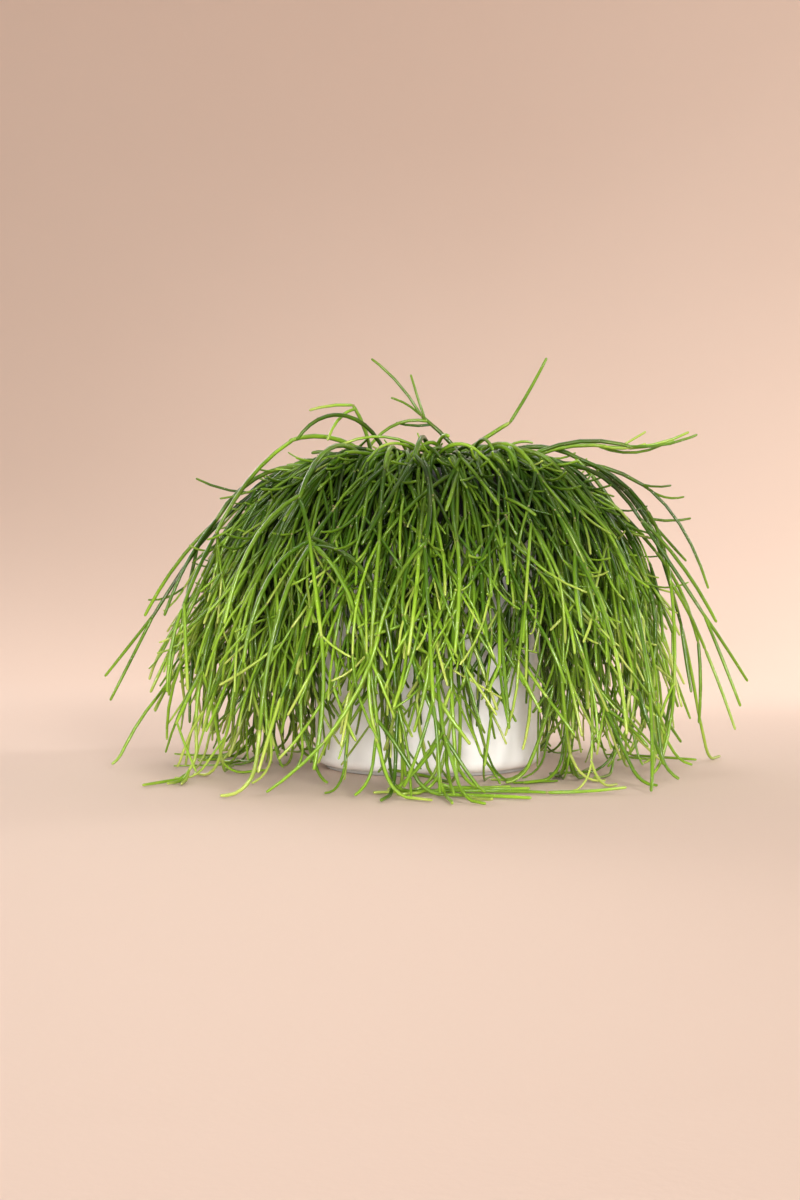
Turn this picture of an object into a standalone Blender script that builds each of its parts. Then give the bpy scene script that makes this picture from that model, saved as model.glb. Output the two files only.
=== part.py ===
"""Mistletoe cactus in a white cover pot (Blender 4.5, metres, +Z up).

The pot stands on Z = 0 with its axis on the origin and its front towards -Y. A black grower pot
hangs wedged in its mouth and holds the potting mix. The plant is a mop of slim round stems in
one solid per spray: each spray rises from a hole of its own in the mix, arches over the rim,
forks at its joints into whorls of thinner stems and hangs down, and what is longer than the
pot is tall lies along the surface.
"""
import math
import random
from dataclasses import dataclass, field

import bmesh
import bpy
import numpy as np

# Cover pot: a straight cylinder on a slightly smaller foot.
POT_RADIUS = 0.100
POT_HEIGHT = 0.200
POT_WALL = 0.006
POT_BASE = 0.008
POT_CORNER = 0.009
POT_INNER_FILLET = 0.006
POT_RIM_ROUND = 0.002
FOOT_RADIUS = 0.0905
FOOT_HEIGHT = 0.003

# Grower pot: thin and tapered, wedged in the cover pot's mouth and standing proud of it.
SEAT_GAP = 0.0003
GROWER_PROUD = 0.058
GROWER_HEIGHT = 0.165
GROWER_WALL = 0.0015
GROWER_BASE = 0.002
GROWER_TAPER = 0.105
LIP_HEIGHT = 0.008
LIP_WIDTH = 0.0034
LIP_ROUND = 0.0008
DRAIN_RADIUS = 0.005
DRAIN_RING = 0.045
DRAIN_COUNT = 4

# Potting mix, filled to just under the grower pot's rim.
MIX_BELOW_RIM = 0.008
SOCKET_DEPTH = 0.0145
SOCKET_SIDES = 6
SOCKET_PLAY = 0.0005

TURNED_SIDES = 40
MERGE = 0.00005

# Heights and radii that follow.
GROWER_TOP = POT_HEIGHT + GROWER_PROUD
GROWER_BOTTOM = GROWER_TOP - GROWER_HEIGHT
SEAT_HEIGHT = POT_HEIGHT - POT_RIM_ROUND
MOUTH_RADIUS = POT_RADIUS - POT_WALL
MIX_TOP = GROWER_TOP - MIX_BELOW_RIM


def grower_radius(height):
    """Outer radius of the grower pot's wall at a height above the surface."""
    return MOUTH_RADIUS - SEAT_GAP + GROWER_TAPER * (height - SEAT_HEIGHT)


LIP_RADIUS = grower_radius(GROWER_TOP - LIP_HEIGHT) + LIP_WIDTH
RIM_INSIDE = grower_radius(GROWER_TOP) - GROWER_WALL

# Stems. They are three-sided, so their corners stand out past the round stem's radius.
CORNER = 1.25
ROOT_DEPTH = 0.012
COLLAR = 0.004
FORK_STAGGER = 0.004
FORK_PLACES = 4
NECK = 0.55
SHADES = (0.75, 1.3)

# How the stems grow: the random draws, their play in degrees, and the steps they are drawn in.
SEED = 33
TRIES = 40
TURN_PLAY = 6
HEADING_PLAY = 16
LEAD_ANGLES = (2, 12)
AIM_PLAY = 3
ROLL_PLAY = 0.2
FOOT_PLAY = (0.94, 1.04)
LONE_CURL = 1.0
STEP = 0.003
STEPS_PER_KNOT = 6

# Room that stems keep: to other sprays, to stems of their own spray, to the pots and the surface.
SPRAY_ROOM = 0.0012
STEM_ROOM = 0.0004
POT_ROOM = 0.0006
SURFACE_ROOM = 0.0003
JOINT_REACH = 6

# The furthest that any stem spreads from the axis, and the mop's outline, which narrows upwards
# and holds all stems but those of the lone sprays.
SPREAD = 0.288
OUTLINE_HEIGHTS = (0.0, 0.050, 0.100, 0.165, 0.210, 0.240, 0.265, 0.290)
OUTLINE_RADII = (0.286, 0.274, 0.252, 0.225, 0.205, 0.185, 0.160, 0.135)

# How soon a stem that nears the pot's side or the surface turns along it.
POT_BEND = 0.040
SURFACE_BEND = 0.028
RIM_BEND = 0.020
STEER_ROOM = 0.003
STEER_SLACK = 0.004
STEER_BAND = 0.012
LEAST_RUN = 0.15

DOWN = np.array((0.0, 0.0, -1.0))


@dataclass(frozen=True)
class Ring:
    """A ring of sprays round the axis: angles in degrees, droop and curl in 1/m."""

    count: int
    radius: float
    first: float
    rise: tuple
    droop: tuple
    lengths: tuple


@dataclass(frozen=True)
class Rank:
    """The stems that grow from one whorl of joints, and the chances of 0, 1, 2 … forks."""

    radius: float
    lengths: tuple
    droop: tuple
    splay: tuple
    curl: float
    forks: tuple


@dataclass(frozen=True)
class Leg:
    """One stem of a lone spray, aimed by heading and rise in degrees (heading 0 is +X)."""

    radius: float
    heading: float
    rise: float
    length: float
    droop: float
    legs: tuple = ()


@dataclass(frozen=True)
class Lone:
    """A spray that stands out of the mop: its foot on the mix, and whether its legs bear whorls."""

    foot: tuple
    leg: Leg
    bears: bool = False


@dataclass
class Stem:
    """A grown stem and its forks: the one that leads carries straight on from its tip."""

    knots: np.ndarray
    radius: float
    leads: bool = False
    forks: list = field(default_factory=list)


RINGS = (
    Ring(14, 0.078, 8.0, (30, 48), (24, 38), (0.065, 0.090)),
    Ring(11, 0.058, 20.0, (42, 54), (19, 24), (0.085, 0.110)),
    Ring(8, 0.034, 5.0, (44, 54), (13, 16), (0.105, 0.130)),
)
RANKS = (
    Rank(0.0021, (0.100, 0.150), (12, 12), (0, 0), 2.5, (0, 0, 0.35, 0.65)),
    Rank(0.0018, (0.065, 0.115), (4, 11), (12, 42), 6.0, (0.1, 0.5, 0.4)),
    Rank(0.0016, (0.060, 0.105), (3, 10), (15, 42), 8.0, (0.4, 0.42, 0.18)),
    Rank(0.0015, (0.055, 0.095), (0, 9), (15, 42), 9.0, (0.65, 0.27, 0.08)),
    Rank(0.0014, (0.050, 0.085), (-5, 8), (15, 40), 10.0, (1,)),
)
LONES = (
    # One long stem that stands up over the right side, with a kink at its joint.
    Lone((0.002, -0.014), Leg(0.0020, 0, 41, 0.086, 2.0, (
        Leg(0.0016, 2, 58, 0.066, -5.0),
    ))),
    # A tuft that leans over the middle: young shoots at its top, and one that bows down again.
    Lone((0.049, 0.010), Leg(0.0019, 180, 54, 0.080, 5.0, (
        Leg(0.0014, 178, 60, 0.068, 10.0),
        Leg(0.0013, 180, 70, 0.042, -6.0),
        Leg(0.0016, 186, 14, 0.074, 22.0),
        Leg(0.0013, 174, -12, 0.034, -16.0),
        Leg(0.0012, 170, 46, 0.034, 20.0),
    ))),
    # A high bow over the left side, with a second one that drops off it.
    Lone((-0.046, -0.020), Leg(0.0018, 201, 80, 0.070, 25.0, (
        Leg(0.0015, 187, 8, 0.038, 10.0),
        Leg(0.0014, 224, -6, 0.046, 32.0),
    ))),
    # A lower bow in front of it.
    Lone((-0.030, -0.035), Leg(0.0018, 203, 74, 0.126, 26.0)),
    # A bow from the middle to the right.
    Lone((0.004, 0.022), Leg(0.0018, 358, 66, 0.106, 25.0)),
    # Stems over the right shoulder, whose young tips flick up and out.
    Lone((0.060, -0.020), Leg(0.0018, 0, 40, 0.104, 9.0, (
        Leg(0.0014, 0, -8, 0.060, -8.0),
        Leg(0.0013, 350, -16, 0.038, -18.0),
        Leg(0.0014, 9, -26, 0.062, -14.0),
    ))),
    Lone((0.068, 0.002), Leg(0.0018, 2, 34, 0.138, 8.5, (
        Leg(0.0014, 357, -38, 0.104, 12.0),
        Leg(0.0012, 6, -44, 0.040, -28.0),
        Leg(0.0012, 346, -20, 0.026, -20.0),
    ))),
    Lone((0.060, -0.046), Leg(0.0018, 346, 38, 0.124, 9.0, (
        Leg(0.0014, 2, 2, 0.052, -9.0),
        Leg(0.0013, 350, -6, 0.060, -9.0),
        Leg(0.0012, 12, 24, 0.024, -8.0),
    ))),
    Lone((0.072, 0.026), Leg(0.0018, 356, 34, 0.150, 13.0, (
        Leg(0.0014, 358, -14, 0.038, -12.0),
        Leg(0.0014, 6, -52, 0.056, -1.0),
        Leg(0.0013, 348, -60, 0.058, 5.0),
    ))),
    # One over the left shoulder.
    Lone((-0.060, 0.012), Leg(0.0018, 176, 36, 0.112, 14.0, (
        Leg(0.0013, 181, 2, 0.050, -9.0),
        Leg(0.0014, 200, -60, 0.090, 1.0),
    ))),
    # Long stems that hang out furthest to the right and to the left.
    Lone((0.070, -0.034), Leg(0.0019, 338, 36, 0.140, 14.0, (
        Leg(0.0017, 346, -56, 0.100, 1.0, (
            Leg(0.0015, 356, -42, 0.095, -3.0),
            Leg(0.0014, 332, -66, 0.080, 2.0),
            Leg(0.0014, 12, -52, 0.072, 0.0),
        )),
        Leg(0.0016, 4, -40, 0.110, 7.0),
        Leg(0.0015, 322, -50, 0.095, 6.0),
    ))),
    Lone((-0.073, -0.016), Leg(0.0019, 187, 35, 0.140, 14.0, (
        Leg(0.0017, 184, -55, 0.100, 1.0, (
            Leg(0.0015, 178, -44, 0.098, -3.0),
            Leg(0.0014, 204, -64, 0.080, 2.0),
            Leg(0.0014, 166, -52, 0.072, 1.0),
        )),
        Leg(0.0016, 168, -42, 0.105, 6.0),
        Leg(0.0015, 210, -48, 0.100, 7.0),
    ))),
    # A stout stem over the front left, which opens into one large fan.
    Lone((-0.046, -0.040), Leg(0.0021, 246, 46, 0.160, 12.5, (
        Leg(0.0019, 296, -42, 0.046, 22.0, (
            Leg(0.0018, 336, 10, 0.166, 21.0),
            Leg(0.0018, 328, -27, 0.160, 14.0),
            Leg(0.0017, 344, -20, 0.120, 11.0),
            Leg(0.0016, 286, -62, 0.090, 3.0),
            Leg(0.0018, 226, -43, 0.152, 14.0),
            Leg(0.0017, 214, -16, 0.116, 19.0),
            Leg(0.0016, 254, -50, 0.110, 6.0),
        )),
        Leg(0.0017, 206, -26, 0.126, 14.0),
    )), True),
)


def material(name, colour, roughness, metallic=0.0):
    """A plain Principled material."""
    finish = bpy.data.materials.new(name)
    finish.use_nodes = True
    shader = finish.node_tree.nodes["Principled BSDF"]
    shader.inputs["Base Color"].default_value = (*colour, 1.0)
    shader.inputs["Roughness"].default_value = roughness
    shader.inputs["Metallic"].default_value = metallic
    return finish


def collection(name):
    """A collection of the scene."""
    group = bpy.data.collections.new(name)
    bpy.context.scene.collection.children.link(group)
    return group


def placed(name, data, group, finish=None):
    """An object that holds a mesh or a curve, in a collection and with its material."""
    thing = bpy.data.objects.new(name, data)
    group.objects.link(thing)
    if finish:
        data.materials.append(finish)
    return thing


def as_guide(thing):
    """Marks a cutter or a guide, which is no part of the object."""
    thing.hide_render = True
    thing.display_type = "WIRE"
    return thing


def arc(centre, radius, start, end, parts):
    """Points of an arc in the (radius, height) plane, angles in degrees."""
    turns = [math.radians(start + (end - start) * i / parts) for i in range(parts + 1)]
    return [(centre[0] + radius * math.cos(t), centre[1] + radius * math.sin(t)) for t in turns]


def turned(name, profile, group, finish):
    """A turned solid from its profile, which runs down its outer side."""
    mesh = bpy.data.meshes.new(name)
    mesh.from_pydata([(r, 0, z) for r, z in profile], [(i, i + 1) for i in range(len(profile) - 1)], [])
    thing = placed(name, mesh, group, finish)
    screw = thing.modifiers.new("turn", "SCREW")
    screw.steps = TURNED_SIDES
    screw.render_steps = TURNED_SIDES
    screw.use_merge_vertices = True
    screw.merge_threshold = MERGE
    screw.use_smooth_shade = True
    return thing


def upright_prisms(name, feet, radius, sides, low, high, group):
    """One cutter of several upright prisms."""
    mesh = bpy.data.meshes.new(name)
    shape = bmesh.new()
    for x, y in feet:
        new = bmesh.ops.create_cone(
            shape, cap_ends=True, segments=sides, radius1=radius, radius2=radius, depth=high - low)
        bmesh.ops.translate(shape, verts=new["verts"], vec=(x, y, (low + high) / 2))
    shape.to_mesh(mesh)
    shape.free()
    return as_guide(placed(name, mesh, group))


def cut_by(thing, cutter):
    """Cuts a solid by a cutter."""
    cut = thing.modifiers.new("cut", "BOOLEAN")
    cut.operation = "DIFFERENCE"
    cut.object = cutter


def cover_pot(group):
    """The white glazed pot: straight wall, rounded rim and corner, low foot."""
    inside = POT_RADIUS - POT_WALL
    rim = POT_HEIGHT - POT_RIM_ROUND
    profile = [(0, POT_BASE)]
    profile += arc((inside - POT_INNER_FILLET, POT_BASE + POT_INNER_FILLET), POT_INNER_FILLET, -90, 0, 2)
    profile += arc((inside + POT_RIM_ROUND, rim), POT_RIM_ROUND, 180, 90, 2)
    profile += arc((POT_RADIUS - POT_RIM_ROUND, rim), POT_RIM_ROUND, 90, 0, 2)
    profile += arc((POT_RADIUS - POT_CORNER, FOOT_HEIGHT + POT_CORNER), POT_CORNER, 0, -90, 4)
    profile += [(FOOT_RADIUS, FOOT_HEIGHT), (FOOT_RADIUS, 0), (0, 0)]
    return turned("pot", profile, group, material("pot", (0.86, 0.86, 0.85), 0.22))


def grower_pot(group, guides):
    """The black pot that the plant was raised in, with its lip and drain holes."""
    floor = GROWER_BOTTOM + GROWER_BASE
    ledge = GROWER_TOP - LIP_HEIGHT
    profile = [
        (0, floor),
        (grower_radius(floor) - GROWER_WALL, floor),
        (RIM_INSIDE, GROWER_TOP),
        (LIP_RADIUS - LIP_ROUND, GROWER_TOP),
        (LIP_RADIUS, GROWER_TOP - LIP_ROUND),
        (LIP_RADIUS, ledge),
        (grower_radius(ledge), ledge),
        (grower_radius(GROWER_BOTTOM), GROWER_BOTTOM),
        (0, GROWER_BOTTOM),
    ]
    pot = turned("grower_pot", profile, group, material("grower_pot", (0.016, 0.016, 0.017), 0.55))
    turns = [math.tau * (i + 0.5) / DRAIN_COUNT for i in range(DRAIN_COUNT)]
    feet = [(DRAIN_RING * math.cos(t), DRAIN_RING * math.sin(t)) for t in turns]
    low, high = GROWER_BOTTOM - GROWER_BASE, floor + GROWER_BASE
    cut_by(pot, upright_prisms("drain_holes", feet, DRAIN_RADIUS, 12, low, high, guides))
    return pot


def potting_mix(feet, group, guides):
    """The potting mix, with a plain socket for the root of each spray."""
    bottom = GROWER_BOTTOM + GROWER_BASE + SEAT_GAP
    inset = GROWER_WALL + SEAT_GAP
    profile = [
        (0, MIX_TOP),
        (grower_radius(MIX_TOP) - inset, MIX_TOP),
        (grower_radius(bottom) - inset, bottom),
        (0, bottom),
    ]
    mix = turned("potting_mix", profile, group, material("potting_mix", (0.055, 0.038, 0.028), 0.95))
    radius = (CORNER * RANKS[0].radius + SOCKET_PLAY) / math.cos(math.pi / SOCKET_SIDES)
    low, high = MIX_TOP - SOCKET_DEPTH, MIX_TOP + SOCKET_DEPTH
    cut_by(mix, upright_prisms("root_sockets", feet, radius, SOCKET_SIDES, low, high, guides))
    return mix


def unit(vector):
    """The vector at length one."""
    return vector / np.linalg.norm(vector)


def aimed(heading, rise):
    """The direction with this heading and rise, in radians."""
    flat = math.cos(rise)
    return np.array((flat * math.cos(heading), flat * math.sin(heading), math.sin(rise)))


def square_to(way):
    """Two directions square to a direction and to each other."""
    other = np.array((1.0, 0.0, 0.0)) if abs(way[0]) < 0.8 else np.array((0.0, 1.0, 0.0))
    first = unit(np.cross(way, other))
    return first, np.cross(way, first)


def splayed(way, angle, roll):
    """A direction that leaves another by an angle, on the side that roll picks."""
    first, second = square_to(way)
    return math.cos(angle) * way + math.sin(angle) * (math.cos(roll) * first + math.sin(roll) * second)


def approach(gap, bend):
    """How directly a stem may still head for a face this far away."""
    near = min(max(1 - gap / bend, 0.0), 1.0)
    return math.sqrt(1 - near * near)


def turned_off_pot(point, way, reach):
    """Turns a stem that hangs beside the pots away from their side."""
    out = np.array((point[0], point[1], 0.0))
    away = float(np.linalg.norm(out))
    keep = LIP_RADIUS + reach + STEER_ROOM
    if away < keep - STEER_SLACK or point[2] > GROWER_TOP + reach + STEER_BAND:
        return way
    out = out / away
    excess = -float(way @ out) - approach(away - keep, POT_BEND)
    return unit(way + excess * out) if excess > 0 else way


def turned_off_floor(point, way, reach):
    """Lays a stem along what is under it: the grower pot's rim, or the surface."""
    over_pot = math.hypot(point[0], point[1]) < LIP_RADIUS + reach + STEER_ROOM
    floor = GROWER_TOP + reach + STEER_ROOM if over_pot else reach + SURFACE_ROOM
    gap = point[2] - floor
    if over_pot and (gap < 0 or point[2] < GROWER_TOP - STEER_BAND):
        return way
    most = approach(gap, RIM_BEND if over_pot else SURFACE_BEND)
    if -way[2] <= most:
        return way
    flat = np.array((way[0], way[1], 0.0))
    if np.linalg.norm(flat) < LEAST_RUN:
        flat = flat + LEAST_RUN * unit(np.array((point[0], point[1], 0.0)))
    flat = unit(flat) * math.sqrt(1 - most * most)
    return np.array((flat[0], flat[1], -most))


def marched(start, way, length, droop, curl, reach):
    """Points of a stem that sets off one way, sags, curls and lies along what it meets."""
    point, way = np.array(start, float), unit(np.array(way, float))
    points = [point]
    for _ in range(round(length / STEP)):
        sag = DOWN - way * float(way @ DOWN)
        way = unit(way + STEP * (droop * sag + curl))
        way = unit(turned_off_floor(point, turned_off_pot(point, way, reach), reach))
        point = point + STEP * way
        point[2] = max(point[2], reach + SURFACE_ROOM)
        points.append(point)
    return np.array(points)


def knots_of(points):
    """The few of a stem's points that its solid keeps, with both ends."""
    picked = list(range(0, len(points) - 1, STEPS_PER_KNOT))
    if len(points) - 1 - picked[-1] < STEPS_PER_KNOT // 2 and len(picked) > 1:
        picked.pop()
    return points[picked + [len(points) - 1]]


def along(knots):
    """Close points along the straight stretches between knots."""
    stretches = []
    for a, b in zip(knots[:-1], knots[1:]):
        parts = max(1, math.ceil(float(np.linalg.norm(b - a)) / STEP))
        stretches.append(a + (b - a) * np.linspace(0, 1, parts, endpoint=False)[:, None])
    return np.concatenate(stretches + [knots[-1:]])


class Plant:
    """Grows the sprays, and knows the room that the grown stems already take."""

    def __init__(self, seed):
        self.rng = random.Random(seed)
        self.points = np.empty((0, 3))
        self.reaches = np.empty(0)
        self.owners = np.empty(0, int)
        self.sprays = []
        self.joints = []
        self.later = []

    def between(self, pair):
        """A random value between two."""
        return self.rng.uniform(*pair)

    def picked(self, chances):
        """A random number of forks by the chances of each."""
        return self.rng.choices(range(len(chances)), chances)[0]

    def curled(self, way, most):
        """A random curl square to a direction."""
        first, second = square_to(way)
        turn = self.rng.uniform(0, math.tau)
        return (math.cos(turn) * first + math.sin(turn) * second) * self.rng.uniform(0, most)

    def misses_pots(self, points, reach, rooted):
        """Whether a stem stays out of the pots and within the mop's spread."""
        room = reach + POT_ROOM
        away = np.hypot(points[:, 0], points[:, 1])
        if away.max() > SPREAD:
            return False
        inside = (away < LIP_RADIUS + room) & (points[:, 2] < GROWER_TOP + room)
        if rooted:
            inside &= away > RIM_INSIDE - room
        return not inside.any()

    @staticmethod
    def within(points):
        """Whether a stem stays within the mop's outline."""
        most = np.interp(points[:, 2], OUTLINE_HEIGHTS, OUTLINE_RADII)
        return bool((np.hypot(points[:, 0], points[:, 1]) < most).all())

    def misses_stems(self, points, reach, owner):
        """Whether a stem keeps its room to all others, apart from the joint it grows from."""
        low, high = points.min(0) - 4 * reach, points.max(0) + 4 * reach
        near = ((self.points > low) & (self.points < high)).all(1)
        own = self.owners[near] == owner
        apart = np.linalg.norm(points[:, None] - self.points[near][None], axis=2)
        close = apart < reach + self.reaches[near] + np.where(own, STEM_ROOM, SPRAY_ROOM)
        close[:JOINT_REACH, own] = False
        return not close.any()

    def stem(self, draw, radius, owner, lead=None, free=False):
        """Grows one stem, drawn again until it has room, or None. A free one may leave the outline."""
        reach = CORNER * radius
        for _ in range(TRIES):
            knots = knots_of(marched(*draw(), reach))
            if lead is not None:
                knots = np.concatenate([lead, knots])
            points = along(knots)
            fits = self.misses_pots(points, reach, lead is not None) and (free or self.within(points))
            if fits and self.misses_stems(points, reach, owner):
                self.points = np.concatenate([self.points, points])
                self.reaches = np.concatenate([self.reaches, np.full(len(points), reach)])
                self.owners = np.concatenate([self.owners, np.full(len(points), owner)])
                return Stem(knots, radius)
        return None

    def rooted(self, foot, draw, radius, free=False):
        """Grows the first stem of a new spray, which stands upright in its socket."""
        base = np.array((*foot, MIX_TOP))
        lead = base - np.array((0, 0, ROOT_DEPTH))
        collar = base + np.array((0, 0, COLLAR))
        stem = self.stem(lambda: (collar, *draw()), radius, len(self.sprays), lead[None], free)
        if stem:
            self.sprays.append(stem)
        return stem

    def ring_spray(self, ring, index):
        """Grows the first stem of one spray of a ring, outwards over the rim."""
        turn = math.radians(ring.first + 360 * index / ring.count + self.rng.uniform(-TURN_PLAY, TURN_PLAY))
        away = ring.radius * self.between(FOOT_PLAY)
        droop = self.between(ring.droop)

        def draw():
            heading = turn + math.radians(self.rng.uniform(-HEADING_PLAY, HEADING_PLAY))
            way = aimed(heading, math.radians(self.between(ring.rise)))
            return way, self.between(ring.lengths), droop, self.curled(way, RANKS[0].curl)

        stem = self.rooted((away * math.cos(turn), away * math.sin(turn)), draw, RANKS[0].radius)
        if stem:
            self.joints.append((len(self.sprays) - 1, stem, self.picked(RANKS[0].forks)))

    def leg_draw(self, leg):
        """Draws one leg of a lone spray, a little off its aim."""
        tilt = math.radians(self.rng.uniform(-AIM_PLAY, AIM_PLAY))
        way = aimed(math.radians(leg.heading) + tilt, math.radians(leg.rise) + tilt)
        return way, leg.length, leg.droop, self.curled(way, LONE_CURL)

    def lone_spray(self, lone):
        """Grows a spray that stands out of the mop, leg by leg."""
        owner = len(self.sprays)
        stem = self.rooted(lone.foot, lambda: self.leg_draw(lone.leg), lone.leg.radius, True)
        if not stem:
            return
        self.legs(owner, stem, lone.leg, lone.bears)

    def legs(self, owner, stem, leg, bears):
        """Grows the legs from a leg's tip, and theirs in turn."""
        way = unit(stem.knots[-1] - stem.knots[-2])
        for index, new in enumerate(leg.legs):
            start = stem.knots[-1] - way * FORK_STAGGER * (index % FORK_PLACES)
            shoot = self.stem(lambda: (start, *self.leg_draw(new)), new.radius, owner, free=True)
            if shoot:
                shoot.leads = index == 0
                stem.forks.append(shoot)
                self.legs(owner, shoot, new, bears)
                if bears and not new.legs:
                    self.later.append((owner, shoot, self.picked(RANKS[1].forks)))

    def fork(self, parent, rank, owner, many):
        """Grows a whorl of stems from the joint at a stem's tip."""
        end = parent.knots[-1]
        way = unit(end - parent.knots[-2])
        first = self.rng.uniform(0, math.tau)
        for index in range(many):
            start = end - way * FORK_STAGGER * index

            def draw():
                roll = first + math.tau * (index + self.rng.uniform(-ROLL_PLAY, ROLL_PLAY)) / many
                angle = self.between(rank.splay) if index else self.between(LEAD_ANGLES)
                new = splayed(way, math.radians(angle), roll)
                length, droop = self.between(rank.lengths), self.between(rank.droop)
                return start, new, length, droop, self.curled(new, rank.curl)

            stem = self.stem(draw, rank.radius, owner)
            if stem:
                stem.leads = index == 0
                parent.forks.append(stem)

    def grow(self):
        """Grows all sprays, rank by rank, so that no spray takes all the room."""
        for lone in LONES:
            self.lone_spray(lone)
        for ring in RINGS:
            for index in range(ring.count):
                self.ring_spray(ring, index)
        for rank in RANKS[1:]:
            grown, self.later = self.later, []
            for owner, stem, many in self.joints:
                self.fork(stem, rank, owner, many)
                grown += [(owner, fork, self.picked(rank.forks)) for fork in stem.forks]
            self.joints = grown


def runs_of(stem, neck=1.0):
    """The unbroken runs of stems in a spray, each as its knots and their radii."""
    knots, radii, runs = [stem.knots], [np.full(len(stem.knots), stem.radius)], []
    radii[0][0] *= neck
    while stem:
        leader = None
        for fork in stem.forks:
            if fork.leads:
                leader = fork
                knots.append(fork.knots[1:])
                radii.append(np.full(len(fork.knots) - 1, fork.radius))
            else:
                runs += runs_of(fork, NECK)
        stem = leader
    return [(np.concatenate(knots), np.concatenate(radii))] + runs


def triangle_profile(guides):
    """The three-sided section of the stems, run clockwise so that tubes face outwards."""
    curve = bpy.data.curves.new("stem_section", "CURVE")
    curve.dimensions = "2D"
    line = curve.splines.new("POLY")
    line.points.add(2)
    line.use_cyclic_u = True
    for index, point in enumerate(line.points):
        turn = -math.tau * index / 3
        point.co = (CORNER * math.cos(turn), CORNER * math.sin(turn), 0, 1)
    return as_guide(placed("stem_section", curve, guides))


def run_solid(name, knots, radii, section, group):
    """A closed tube along a run of stems."""
    curve = bpy.data.curves.new(name, "CURVE")
    curve.dimensions = "3D"
    curve.bevel_mode = "OBJECT"
    curve.bevel_object = section
    curve.use_fill_caps = True
    line = curve.splines.new("POLY")
    line.points.add(len(knots) - 1)
    for point, knot, radius in zip(line.points, knots, radii):
        point.co = (*knot, 1)
        point.radius = radius
    tube = placed(name + "_line", curve, group)
    bpy.context.view_layer.update()
    mesh = bpy.data.meshes.new_from_object(tube.evaluated_get(bpy.context.evaluated_depsgraph_get()))
    bpy.data.objects.remove(tube)
    bpy.data.curves.remove(curve)
    shape = bmesh.new()
    shape.from_mesh(mesh)
    bmesh.ops.remove_doubles(shape, verts=shape.verts, dist=MERGE / 5)
    shape.to_mesh(mesh)
    shape.free()
    return placed(name, mesh, group)


def fused(base, pieces):
    """Joins the pieces of a collection to a base by one Boolean union, and removes them."""
    union = base.modifiers.new("fuse", "BOOLEAN")
    union.operation = "UNION"
    union.operand_type = "COLLECTION"
    union.collection = pieces
    union.solver = "MANIFOLD"
    bpy.context.view_layer.update()
    mesh = bpy.data.meshes.new_from_object(base.evaluated_get(bpy.context.evaluated_depsgraph_get()))
    base.modifiers.clear()
    base.data = mesh
    for piece in list(pieces.objects):
        bpy.data.objects.remove(piece)


def spray_solid(name, root, section, group):
    """One spray as one solid, in its own green."""
    pieces = collection(name + "_stems")
    base, *rest = runs_of(root)
    solid = run_solid(name, *base, section, group)
    for index, run in enumerate(rest):
        run_solid(f"{name}_{index}", *run, section, pieces)
    if rest:
        fused(solid, pieces)
    bpy.data.collections.remove(pieces)
    shade = random.Random(name).uniform(*SHADES)
    solid.data.materials.clear()
    solid.data.materials.append(material(name, (0.105 * shade, 0.235 * shade, 0.030 * shade), 0.42))
    solid.data.shade_smooth()
    solid.data.set_sharp_from_angle(angle=math.radians(50))
    return solid


def main():
    """Clears the scene and builds the pots, the mix and the sprays."""
    for thing in list(bpy.data.objects):
        bpy.data.objects.remove(thing)
    group = collection("mistletoe_cactus")
    guides = collection("guides")
    plant = Plant(SEED)
    plant.grow()
    feet = [tuple(spray.knots[0][:2]) for spray in plant.sprays]
    cover_pot(group)
    grower_pot(group, guides)
    potting_mix(feet, group, guides)
    section = triangle_profile(guides)
    for index, spray in enumerate(plant.sprays, 1):
        spray_solid(f"spray_{index:02d}", spray, section, group)


main()
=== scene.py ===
"""Mistletoe cactus in a white cover pot: the finished looks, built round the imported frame.

The frame's pots, mix and sprays are replaced by finer pieces of the same form. The main stems
grow here as they do in the solids, from the same seed, and finer ones fill the mop between them.
All lengths are in metres, droop and curl in 1/m, and headings, rises and splays in degrees where
they are listed and in radians where they are worked with, with 0 along +X and the front towards -Y.
"""
import logging
import math
import random
from collections.abc import Callable, Iterable, Iterator, Sequence
from contextlib import contextmanager
from dataclasses import dataclass, field
from enum import Enum
from functools import cached_property
from typing import Any

import bmesh
import bpy
import numpy as np
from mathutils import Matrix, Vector


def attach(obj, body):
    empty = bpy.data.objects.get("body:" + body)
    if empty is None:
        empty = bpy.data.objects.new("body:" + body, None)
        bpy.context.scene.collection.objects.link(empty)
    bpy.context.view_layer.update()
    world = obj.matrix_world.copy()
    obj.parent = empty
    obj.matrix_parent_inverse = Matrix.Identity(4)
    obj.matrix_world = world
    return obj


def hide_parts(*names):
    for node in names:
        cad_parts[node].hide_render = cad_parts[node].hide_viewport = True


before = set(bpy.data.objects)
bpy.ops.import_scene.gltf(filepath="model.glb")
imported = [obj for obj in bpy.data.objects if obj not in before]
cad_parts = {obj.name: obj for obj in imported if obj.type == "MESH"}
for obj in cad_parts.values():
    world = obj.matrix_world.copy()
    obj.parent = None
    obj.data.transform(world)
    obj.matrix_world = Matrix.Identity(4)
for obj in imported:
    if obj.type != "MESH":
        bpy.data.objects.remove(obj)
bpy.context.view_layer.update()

LOG = logging.getLogger("mistletoe_cactus")
BODY = "root"

Array = np.ndarray
Thing = bpy.types.Object
Material = bpy.types.Material
Pair = tuple[float, float]
Triple = tuple[float, float, float]
Row = tuple[float, ...]
Draw = Callable[[], tuple]
DOWN = np.array((0.0, 0.0, -1.0))
NEAR_X = 0.8


class Slot(Enum):
    """The record's material slots."""

    GLAZE = "white_glaze"
    PLASTIC = "black_plastic"
    MIX = "potting_mix"
    STEM = "green_stem"


# Growth: the pots' sizes, how a stem travels, the main stems of the sprays, the finer ones.


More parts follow.
